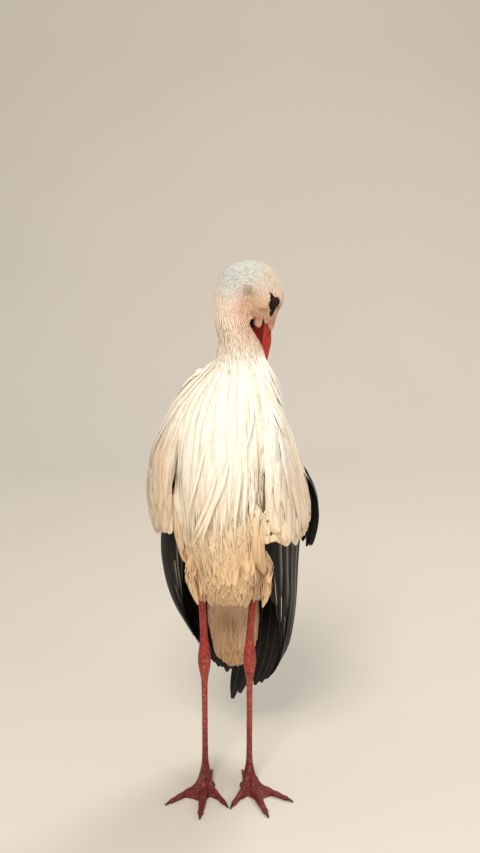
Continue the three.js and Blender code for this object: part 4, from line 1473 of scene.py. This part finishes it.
def wing_feather(
    plumage, wing, u, top, tip, half, stand, breadth, drift=0.0, tilt=0.0, tone=None, rng=random
):
    """One vane that runs down a wing's face from top to tip; stand(t) is its height off the face."""
    last = plumage.stations - 1
    points, outs = [], []
    for t in plumage.shares():
        z, here = lerp(top, tip, t), min(0.995, max(0.005, u + drift * t))
        points.append(wing.point(here, z, stand(t)))
        outs.append(wing.normal(here, z))
    if tilt:
        for i in range(last + 1):
            heading = points[min(i + 1, last)] - points[max(i - 1, 0)]
            outs[i] = Matrix.Rotation(tilt * wing.side, 3, heading.normalized()) @ outs[i]
    plumage.plant(points, outs, breadth, half * MM, rng.random() if tone is None else tone)


def wing_coverts(name, side):
    """Broad white coverts along a wing's lower edge, and soft smooth ones above them."""
    rng = random.Random(31 if side > 0 else 32)
    wing = Wing(COVERTS[name], side)
    edge = curve_through(COVERT_EDGE[name])
    feathers = Plumage(10)
    for row, v in enumerate((0.4, 0.58, 0.74, 0.88, 1.0)):
        size, half = lerp(56, 80, v), lerp(10.5, 16, v * v)
        middle = lerp(wing.highest, edge(0.5), v)
        count = round(wing.girth(middle) / (half * 1.05))
        for k in range(count):
            u = max(0.045, (k + (row % 2) / 2 + rng.uniform(-0.1, 0.1)) / count)
            tip = lerp(wing.highest - 6, edge(u), v) + rng.uniform(-4, 4)
            top = min(tip + size * rng.uniform(0.9, 1.1), wing.highest + 3)
            loose = rng.uniform(0.2, 1.0)
            wide = half * rng.uniform(0.88, 1.12) * lerp(0.5, 1.0, ease(0.04, 0.16, u))
            wing_feather(
                feathers, wing, u, top, tip, wide, lambda t: -6.0 + 4.7 * ease(0, 0.5, t) + loose * t * t,
                round_breadth, drift=rng.gauss(0.008, 0.006), tilt=rng.gauss(0.09, 0.015), rng=rng,
            )
    for root in spread_roots((REGIONS == "wing") & (PX * side > 0) & (PZ > 440), 7.4, 8):
        _, out, _, _ = hide.near(root)
        lowest = lerp(edge(0.3), edge(0.75) + 4, ease(0.1, 0.6, out.y))
        room = ((root - MIDLINE) / MM).z - 12 - lowest
        if room < 26:
            continue
        lift = rng.uniform(1.3, 2.0)
        points, outs, spot = lay(
            root, min(58, room), feathers.stations, lambda t: lift + 1.1 * t, wander=0.012, rng=rng
        )
        wide = rng.uniform(7.0, 10.0) * lerp(0.5, 1.0, ease(0.0, 0.5, out.x * side)) * MM
        feathers.add(points, outs, round_breadth, wide, spot, rng.random())
    for _ in range(FRONT_LOCKS):
        u = rng.uniform(0.03, 0.24)
        tip = rng.uniform(edge(u) + 5, 530)
        top, lift = min(tip + rng.uniform(80, 125), wing.highest), rng.uniform(0.6, 2.4)
        wing_feather(
            feathers, wing, u, top, tip, rng.uniform(4.5, 7.5),
            lambda t: -5.0 + (5.0 + lift) * ease(0, 0.45, t), lock_breadth,
            drift=rng.gauss(0.0, 0.02), rng=rng,
        )
    grow(
        f"coat_wing_{name}", feathers, WHITE, "white_feathers",
        Sides=6, Thickness=0.025, Camber=0.07, Shaft=0.0, Fray=0.004,
    )


def flight_feathers(name, side):
    """Greater coverts, secondaries and primaries of one wing: long black vanes in fanned steps."""
    rng = random.Random(41 if side > 0 else 42)
    flight, cover = Wing(FLIGHTS[name], side), Wing(COVERTS[name], side)
    under = curve_through(COVERT_EDGE[name])
    primary_edge = curve_through(PRIMARY_EDGE[name])
    secondary_edge = curve_through(SECONDARY_EDGE)
    feathers = Plumage(22)
    for k in range(PRIMARIES):
        u = lerp(0.02, 0.95, k / (PRIMARIES - 1))
        tip = primary_edge(u) + rng.uniform(-3, 3)
        tone = rng.uniform(0.5, 1.0) if 0.04 < u < 0.34 else rng.uniform(0, 0.45)
        wing_feather(
            feathers, flight, u, under(u) + 34, tip, lerp(12.5, 14.5, u),
            lambda t: -3.2 - 4.6 * ease(0.38, 0.5, u), pointed_breadth, 0.012, 0.07, tone,
        )
    for k in range(SECONDARIES):
        u = lerp(0.5, 0.975, k / (SECONDARIES - 1))
        tip = secondary_edge(u) + rng.uniform(-6, 6)
        wing_feather(
            feathers, flight, u, under(u) + 34, tip, 12.5,
            lambda t: -2.4 + 1.2 * t, quill_breadth, 0.01, 0.06, rng.uniform(0, 0.5),
        )
    start, end, lift, rows = GREATER[name]
    edge, top = curve_through(rows), curve_through(GREATER_TOP)
    for k in range(GREATER_COVERTS):
        share = k / (GREATER_COVERTS - 1)
        u = lerp(start + 0.02, end - 0.02, share)
        stand = lift * (1 - 0.6 * share)
        wing_feather(
            feathers, cover, u, top(u) + 6, edge(u) + rng.uniform(-2, 2), 13,
            lambda t: lerp(-6, 1, ease(0, 0.22, t)) + stand * math.sin(math.pi * (0.03 + 0.87 * t**1.25)),
            quill_breadth, tilt=0.08, tone=rng.uniform(0, 0.4),
        )
    replaced = [f"wing_{name}_{part}" for part in ("greater", "secondaries", "primaries")]
    grow(
        f"flight_feathers_{name}", feathers, BLACK, "black_feathers", replaced,
        Sides=14, Thickness=0.022, Camber=0.1, Shaft=0.06, Crowding=1.2, Fray=0.003, Barbs=90.0,
        Patch=(0.004, 0.02, 0),
    )


# Loose feathers that hang from each flank in front of the wing.
FLANKS = {
    "left": [
        ([(28, -90, 480), (31, -86, 442), (33, -72, 405), (38, -52, 380), (43, -36, 362)], 46, 1.0),
        ([(36, -44, 400), (42, -30, 370), (45, -22, 342), (44, -16, 320), (40, -12, 302)], 130, 0.85),
    ],
    "right": [
        ([(-72, -54, 512), (-76, -52, 480), (-75, -46, 440), (-71, -38, 405), (-69, -32, 380)], 46, 1.0),
        ([(-56, -50, 400), (-60, -36, 376), (-61, -26, 352), (-57, -20, 330), (-51, -16, 308)], 130, 0.85),
    ],
}
HOOK = [(39, -44, 404), (44, -44, 380), (47, -44, 357), (50, -44, 358), (54, -44, 373)]


def flank_feathers(name, side):
    """The loose feathers of one flank: a few long locks, many short ones and, left, a hook."""
    rng = random.Random(51 if side > 0 else 52)
    thick = curve_through([(0, 6.0), (0.25, 9.5), (0.5, 9.5), (0.75, 6.5), (1, 1.0)])
    feathers = Plumage(12)
    for knots, count, girth in FLANKS[name]:
        line = path_through(knots)
        many = count > 100
        for k in range(count):
            start = rng.uniform(-0.3, 0.75) if many else rng.uniform(-0.12, 0.55)
            end = min(1.0, start + rng.uniform(0.38, 0.6)) if k > 6 else 1.0
            if many:
                end = min(1.0, max(start, 0) + rng.uniform(0.22, 0.34))
            turn = rng.uniform(0, 2 * math.pi)
            away = Vector((math.cos(turn), math.sin(turn), 0))
            points = []
            for share in feathers.shares():
                t = lerp(max(start, 0), end, share)
                points.append(at(*line(t)) + away * thick(t) * girth * MM * lerp(0.5, 1.02, share))
            wide = rng.uniform(3.0, 5.5) * MM * (0.5 if many else 1)
            feathers.plant(points, [away] * len(points), soft_breadth, wide, rng.random())
    if side > 0:
        line = path_through(HOOK)
        points = [at(*line(t)) for t in feathers.shares()]
        feathers.plant(points, [-Y] * len(points), plume_breadth, 3.6 * MM, 0.2)
    grow(
        f"flank_feathers_{name}", feathers, CREAM_SOIL_AND_SHADE, "cream_feathers",
        Sides=6, Thickness=0.06, Camber=0.15, Fray=0.004,
    )


# ---------------------------------------------------------------- eyes, lids and bill
def point_values(mesh, name, values):
    """Keeps a number at each point of the mesh."""
    attribute = mesh.attributes.new(name, "FLOAT", "POINT")
    attribute.data.foreach_set("value", np.array(values, float))


def finished(name, mesh, material, slot, *replaced):
    """A finished piece from a closed mesh."""
    made = new_object(name, outward(mesh))
    mesh.materials.append(material)
    declare(made, replaced)
    return made


def eye(name):
    """An eyeball whose cornea bulges a little, with its angle off the gaze kept at each point."""
    radius, spokes, rings = EYE["radius"], 48, 30
    loops, angles, spins = [], [], []
    for r in range(rings):
        angle = math.pi * (r + 0.5) / rings * (0.5 + 0.5 * (r + 0.5) / rings)
        bulge = 1 + 0.035 * (1 - ease(0.3, 0.62, angle))
        flat, out = radius * bulge * math.sin(angle), radius * bulge * math.cos(angle)
        ring = []
        for k in range(spokes):
            turn = 2 * math.pi * k / spokes
            ring.append(EYES[name].place(flat * math.cos(turn), flat * math.sin(turn), out))
            angles.append(angle)
            spins.append(math.cos(turn * 3) + math.sin(turn * 5) + 2 * math.sin(turn))
        loops.append(ring)
    mesh = mesh_of(f"{name}_eyeball", *loft(loops))
    point_values(mesh, "gaze", angles)
    point_values(mesh, "spin", spins)
    finished(f"{name}_eyeball", mesh, EYE_WET, "eye", f"eye_{name}")


def face_skin(name):
    """The bare black patch with its lids: a fold rings the eye and wrinkles spread from it."""
    spokes, rings = 80, 22
    held = EYES[name]
    outer, inner, shares = [], [], []
    for k in range(rings):
        share = k / (rings - 1)
        top, bottom = [], []
        for i in range(spokes):
            turn = 2 * math.pi * i / spokes
            opening = 4.0 - 0.3 * math.cos(2 * turn)
            reach = EYE_PATCH(math.degrees(math.atan2(math.sin(turn), math.cos(turn)))) + 0.8
            r = lerp(opening, reach, share**1.3)
            a, b = r * math.cos(turn), r * math.sin(turn)
            ball = math.sqrt(max(0.0, (EYE["radius"] * 1.03) ** 2 - r * r)) + 0.35
            rim = 0.5 * math.exp(-(((r - opening - 0.7) / 0.6) ** 2))
            second = 0.3 * math.exp(-(((r - opening - 2.6) / 0.5) ** 2))
            wrinkle = 0.14 * math.sin(r * 3.3 + 0.9 * math.sin(3 * turn)) * ease(6, 8, r) * (1 - share)
            ground = held.ground(a, b) + 1.1 - 0.5 * share + wrinkle
            gap = ball - ground
            height = ground + 0.5 * (gap + math.sqrt(gap * gap + 0.8)) if r < 9 else ground
            height = lerp(height, ground, ease(7.4, 9.0, r)) + rim + second
            top.append(held.place(a, b, height))
            bottom.append(held.place(a, b, height - lerp(0.5, 1.6, share)))
            shares.append(share)
        outer.append(top)
        inner.append(bottom)
    rows = outer + inner[::-1]
    mesh = mesh_of(f"{name}_face_skin", *loft(rows + [rows[0]], caps=False))
    point_values(mesh, "along", shares + shares[::-1] + shares[:spokes])
    finished(f"{name}_face_skin", mesh, FACE_SKIN, "face_skin")


def over_face(along, turn):
    """How far the skin lies from the head's line at a place along it, in millimetres."""
    spoke = head_spoke(turn)
    middle = on_head(along, 0, 0)
    hit, _, _, _ = hide.tree.ray_cast(middle + spoke * OUTSIDE, -spoke)
    return 0.0 if hit is None else (hit - middle).dot(spoke) / MM


def mandible(name, way):
    """One half of the bill: a ridged back, sharp cutting edges and, above, a nostril slit.

    At its root the horn spreads over the face, under the feathers' edge, as far as the gape.
    """
    rings, count, root = 76, 40, 15.0
    length = BILL["length"] * (1 if way > 0 else BILL["lower"])
    loops, alongs, depths, grooves = [], [], [], []
    for r in range(rings):
        along = lerp(root, BILL["start"] + length, (r / (rings - 1)) ** 1.1)
        t = max(0.0, (along - BILL["start"]) / length)
        size = lerp(BILL["tip"], 1, 1 - t**1.15)
        if t > 0.97:
            size *= math.sqrt(max(0.0, 1 - ((t - 0.97) / 0.031) ** 2))
        half, deep = size * BILL["width"] / 2, size * BILL["depth"] / 2
        drop = way * 0.16 - BILL["drop"] * (1 - t)
        ring = []
        for k in range(count):
            turn = 2 * math.pi * k / count
            c, s = math.cos(turn), math.sin(turn)
            if s >= 0:
                x = half * math.copysign(abs(c) ** 0.9, c) * (1 - 0.10 * s)
                y = deep * s**1.02
                flat = 0.35 * size * math.exp(-(((s - 0.33) / 0.16) ** 2))
                x -= math.copysign(flat, c)
            else:
                x = half * math.copysign(abs(c) ** 0.9, c) * 0.985
                y = 0.10 * deep * abs(s) * ease(0, 0.5, abs(s))
            slit = 0.0
            if way > 0 and s > 0:
                slit = math.exp(-(((s - 0.80 + 3.4 * (t - 0.115)) / 0.07) ** 2))
                slit = slit * ease(0.10, 0.12, t) * ease(0.19, 0.155, t)
                x -= math.copysign(1.6 * slit, c)
            if way > 0:
                y *= 1 + 0.34 * ease(44, 76, along) * (1 - ease(105, 165, along))
            up = drop + way * y
            if -8 < up < 6 and FACE_EDGE(up) - 4 < along < 39 and s > -0.1:
                reach = math.hypot(x, up)
                skin = min(over_face(along, math.atan2(up, x)) + 0.55, reach + 9)
                grown = max(reach, lerp(skin, reach, ease(36, 39, along)))
                grown = lerp(reach, grown, ease(-8, -6, up) * ease(6, 4, up))
                x, up = x * grown / reach, up * grown / reach
                up = max(up, drop + 0.1) if way > 0 else min(up, drop - 0.1)
            ring.append(on_head(along, up, x))
            alongs.append(t)
            # Height above or below the gape, along which the horn's painted shade darkens the bill downwards.
            depths.append(way * y / 13.5)
            lips = 0.85 * (1 - ease(0.0, 0.10, s)) if s >= 0 else 0.85
            grooves.append(min(1.0, slit + lips * (1 - 0.5 * ease(0.1, 0.4, t))))
        loops.append(ring)
    mesh = mesh_of(name, *loft(loops))
    for key, values in (("along", alongs), ("depth", depths), ("groove", grooves)):
        point_values(mesh, key, values)
    return finished(name, mesh, RED_HORN, "bill", "bill_upper" if way > 0 else "bill_lower")


def throat_skin_and_shade():
    """A small dark pouch of bare skin that hangs between the chin and the throat, and also stands in as
    painted shade for the gap between the chin and the neck.
    """
    line = curve_through([
        (0, (14, -19, 2.0)), (0.3, (24, -20, 6.0)), (0.6, (35, -19.5, 6.4)),
        (0.85, (45, -17.5, 5.2)), (1, (55, -13, 1.4)),
    ])
    rings = []
    for k in range(25):
        along, up, size = line(k / 24)
        fold = 1 + 0.05 * math.sin(k * 1.9)
        centre = on_head(along, up, 0)
        rings.append(ellipse(centre, HEAD_LEFT, HEAD_UP, size * 1.1 * fold, size * 0.8 * fold, 28))
    # Its dark skin also fills, as painted shade, the shaded gap between the chin and the neck.
    mesh = mesh_of("throat_skin_and_shade", *loft(rings))
    point_values(mesh, "along", [0.5] * len(mesh.vertices))
    return finished("throat_skin_and_shade", mesh, FACE_SKIN, "face_skin")


# ---------------------------------------------------------------- legs and feet
def leg_tube(leg):
    """Shank, heel joint and tarsus in one, from inside the thigh down to the ankle."""
    widths = curve_through([
        (8, 9.5), (15, 10.4), (24, 8.4), (34, 6.2), (50, 4.5), (110, 4.1), (172, 4.5), (186, 6.0), (196, 8.0),
        (206, 9.2), (215, 9.1), (224, 8.2), (234, 6.7), (246, 5.6), (280, 5.2), (316, 5.4), (340, 6.0),
    ])
    rings = []
    for z in range(340, 5, -5):
        up_shank = ease(*SHANK_ENDS, z)
        x = lerp(leg["x"], leg["knee"], up_shank)
        y = LEG_Y + lerp(2, -5, up_shank) * ease(170, 240, z)
        half = widths(z)
        deep = half * lerp(1.14, 1.22, ease(240, 200, z)) if z < 240 else half * 1.12
        rings.append(ellipse(at(x, y, z), X, Y, half, deep))
    return rings


def flat_ring(centre, side, half, count, floor):
    """A ring across a toe or claw that doesn't reach below the floor."""
    return [Vector((p.x, p.y, max(p.z, floor))) for p in ellipse(centre, side, Z, half, half * 0.95, count)]


def toe_ways(leg, toe):
    """The way that a toe points, and the way to its left."""
    angle = math.radians(leg["toes"][toe])
    return Vector((math.sin(angle), -math.cos(angle), 0)), Vector((math.cos(angle), math.sin(angle), 0))


def toe_rings(leg, toe):
    """Rings along one toe with pads under its joints."""
    out, side = toe_ways(leg, toe)
    shape = TOES[toe]
    rings, steps = [], 26
    for k in range(steps + 1):
        t = k / steps
        distance = lerp(2, shape["length"], t)
        swell = 0.5 + 0.5 * math.cos(2 * math.pi * (shape["joints"] * t + 0.1))
        r = shape["radius"] * (lerp(1.32, 0.56, t**0.8) + 0.09 * swell) * (0.8 if t == 1 else 1)
        height = lerp(10, shape["radius"] * 0.8, ease(0.0, 0.35, t)) if t < 0.35 else r * 0.86
        rings.append(flat_ring(at(leg["x"], LEG_Y, height) + out * distance * MM, side, r, 18, 0.0003))
    return rings


def web(leg):
    """The foot's pad, with skin stretched between the roots of the front toes."""
    toes = leg["toes"]
    low, high = sorted((toes["outer"], toes["inner"]))
    count = 48
    rims = []
    for scale, z in ((0.92, 0.6), (1.0, 2.2), (0.84, 5.0), (0.56, 10.0), (0.40, 17.0), (0.34, 22.0)):
        ring = []
        for i in range(count):
            turn = -180 + 360 * i / count
            outside = max(low - turn, turn - high, 0)
            near_toe = min(abs(turn - toe) for toe in toes.values())
            outer_web = min(toes["outer"], toes["middle"]) < turn < max(toes["outer"], toes["middle"])
            spread = lerp(44, 40 if outer_web else 28, ease(0, 22, near_toe))
            reach = lerp(spread, 15, min(1, outside / 30)) * scale
            angle = math.radians(turn)
            ring.append(at(leg["x"] + math.sin(angle) * reach, LEG_Y - math.cos(angle) * reach, z))
        rims.append(ring)
    return rims


def leg_skin(leg):
    """One leg's skin with its scales raised: small plates on the leg, bands over the toes."""
    bm = bmesh.new()
    for rings in [leg_tube(leg), web(leg)] + [toe_rings(leg, toe) for toe in TOES]:
        mesh = mesh_of("part", *loft(rings))
        bm.from_mesh(outward(mesh))
        bpy.data.meshes.remove(mesh)
    mesh = bpy.data.meshes.new("leg")
    bm.to_mesh(mesh)
    bm.free()
    made = voxel_skin(new_object("leg", mesh), LEG_GRAIN * MM)
    smooth = made.modifiers.new("soften", "SMOOTH")
    smooth.iterations = 4
    mesh = applied(made).data
    points, normals = vertex_array(mesh), vertex_array(mesh, "normal")
    grooves = np.zeros(len(points))
    moved = points.copy()
    for i, (p, n) in enumerate(zip(points, normals)):
        grooves[i] = scale_groove(leg, Vector(p), Vector(n))
        height = (p[2] - MIDLINE[2]) / MM
        deep = lerp(0.34, 0.5, ease(190, 204, height) * ease(238, 226, height))
        moved[i] = p + n * (0.3 - deep * grooves[i]) * MM
        moved[i][2] = max(moved[i][2], 0.0)
    mesh.vertices.foreach_set("co", moved.ravel())
    point_values(mesh, "groove", grooves)
    mesh.update()
    mesh.shade_smooth()
    return made


def scale_groove(leg, p, n):
    """How deep a place lies in the joints between scales, from 0 to 1."""
    x, y, z = (p - MIDLINE) / MM
    away = Vector((x - leg["x"], y - LEG_Y, 0))
    on_toe = away.length > 13 and z < 16
    if on_toe and n.z > 0.05:
        band = 0.5 + 0.5 * math.cos(2 * math.pi * away.length / 3.4)
        return ease(0.72, 1.0, band) * ease(0.05, 0.4, n.z)
    size = Vector((x / 2.4, y / 2.4, z / 2.8))
    if 19 < z < 176 and n.y < -0.55:
        size = Vector((x / 5.2, y / 5.2, z / 4.0))
    if 196 < z < 236:
        size = Vector((x / 5.0, y / 5.0, z / 2.6))
    distances, _ = noise.voronoi(size)
    return 1 - ease(0.05, 0.28, distances[1] - distances[0])


def claws(name, leg):
    """Short blunt claws that curve down at the toes' ends."""
    points, faces = [], []
    for toe, shape in TOES.items():
        out, side = toe_ways(leg, toe)
        r = shape["radius"]
        rings = []
        for k in range(13):
            t = k / 12
            end = max(0, (t - 0.75) / 0.26) ** 2
            width = r * (lerp(0.46, 0.22, t) * math.sqrt(max(0.0, 1 - end)) + 0.01)
            height = r * lerp(0.62, 0.26, t * t)
            centre = at(leg["x"], LEG_Y, height) + out * (shape["length"] - 3 + (CLAW + 3) * t) * MM
            rings.append(flat_ring(centre, side, width, 16, 0.0))
        more, quads = loft(rings)
        faces += [tuple(len(points) + i for i in quad) for quad in quads]
        points += more
    mesh = mesh_of(f"claws_{name}", points, faces)
    finished(f"claws_{name}", mesh, DARK_HORN, "claw", *(f"claw_{name}_{toe}" for toe in TOES))


# ---------------------------------------------------------------- growing it all
head_coat()
neck_coat()
body_coat()
mantle()
thigh_and_tail_coat()
breast_plumes()
for wing_name, wing_side in SIDES:
    wing_coverts(wing_name, wing_side)
    flight_feathers(wing_name, wing_side)
    flank_feathers(wing_name, wing_side)


# ---------------------------------------------------------------- finish
def join_all(name, pieces):
    """Joins objects into the first one, which keeps its place at the origin."""
    bpy.ops.object.select_all(action="DESELECT")
    for piece in pieces:
        piece.select_set(True)
    bpy.context.view_layer.objects.active = pieces[0]
    bpy.ops.object.join()
    pieces[0].name = pieces[0].data.name = name
    pieces[0].select_set(False)
    return pieces[0]


def finish_skin():
    """The one skin: the body's, with both legs' scaly skin joined to it."""
    body = hide.object
    body.data.uv_layers.remove(body.data.uv_layers["coat_roots"])
    body.data.materials.clear()
    body.data.materials.append(PALE_SKIN)
    body.data.shade_smooth()
    point_values(body.data, "groove", np.zeros(len(body.data.vertices)))
    legs, flesh = [], list(FLESH)
    for name, leg in LEGS.items():
        legs.append(leg_skin(leg))
        legs[-1].data.materials.append(LEG_SCALES)
        flesh += [f"{part}_{name}" for part in ("shank", "tarsus", "foot")]
        flesh += [f"toe_{name}_{toe}" for toe in TOES]
        claws(name, leg)
    skin = join_all("skin", [body, *legs])
    declare(skin, flesh)
    print("piece skin", triangles(skin))


for eye_name, _ in SIDES:
    eye(eye_name)
    face_skin(eye_name)
face_coat([mandible("upper_bill", 1), mandible("lower_bill", -1), throat_skin_and_shade()])
finish_skin()


def studio():
    """A plain pale floor that runs up into a plain wall behind the bird."""
    paint = Paint("studio floor", Roughness=0.9, Specular_IOR_Level=0.2)
    cloud = paint.noise(paint.place(), 1.5, 2.0)
    material = paint.finish(paint.mix(cloud, rgb(0.80, 0.775, 0.74), rgb(0.825, 0.80, 0.765)))
    far, back, bend = 7, 1.6, 1.1
    corners = [(-far, -far, 0), (far, -far, 0), (far, back, 0), (-far, back, 0)]
    floor = new_object("floor", mesh_of("floor", corners, [(0, 1, 2, 3)], False))
    arc = np.linspace(0, math.pi / 2, 24)
    profile = [(back + bend * math.sin(a), bend - bend * math.cos(a)) for a in arc]
    profile.append((back + bend, far))
    points = [(x, y, z) for y, z in profile for x in (-far, far)]
    faces = [(2 * k, 2 * k + 1, 2 * k + 3, 2 * k + 2) for k in range(len(profile) - 1)]
    wall = new_object("backdrop", mesh_of("backdrop", points, faces))
    for piece in (floor, wall):
        piece.data.materials.append(material)
    wall.visible_diffuse = False
    wall.visible_shadow = False


def light(name, place, size, power, colour):
    """A round area light, in metres and watts, that looks at the bird's breast."""
    data = bpy.data.lights.new(name, "AREA")
    data.shape, data.size, data.energy, data.color = "DISK", size, power, colour[:3]
    made = bpy.data.objects.new(name, data)
    bpy.context.scene.collection.objects.link(made)
    made.location = place
    made.rotation_euler = (at(0, 0, 420) - Vector(place)).to_track_quat("-Z", "Y").to_euler()


def lights_and_camera():
    """A soft sky, three lights, and a camera that looks a little down at the bird's front."""
    world = bpy.data.worlds.new("studio")
    bpy.context.scene.world = world
    world.use_nodes = True
    shade = world.node_tree.nodes["Background"]
    shade.inputs["Color"].default_value = rgb(0.95, 0.94, 0.92)
    shade.inputs["Strength"].default_value = 0.55
    light("key", (-0.35, -1.85, 2.6), 0.9, 66, rgb(1.0, 0.965, 0.91))
    light("fill", (1.9, -1.4, 1.2), 1.8, 16, rgb(0.95, 0.96, 1.0))
    light("rim", (0.9, 1.5, 2.4), 0.9, 30, rgb(1.0, 0.97, 0.93))
    data = bpy.data.cameras.new("camera")
    data.lens = 52.04
    data.sensor_width = 36
    made = new_object("camera", data)
    made.location = at(8, -1626, 1033)
    made.rotation_euler = (math.radians(74), 0, 0)
    bpy.context.scene.camera = made
    bpy.context.scene.view_settings.view_transform = "Standard"


studio()
lights_and_camera()
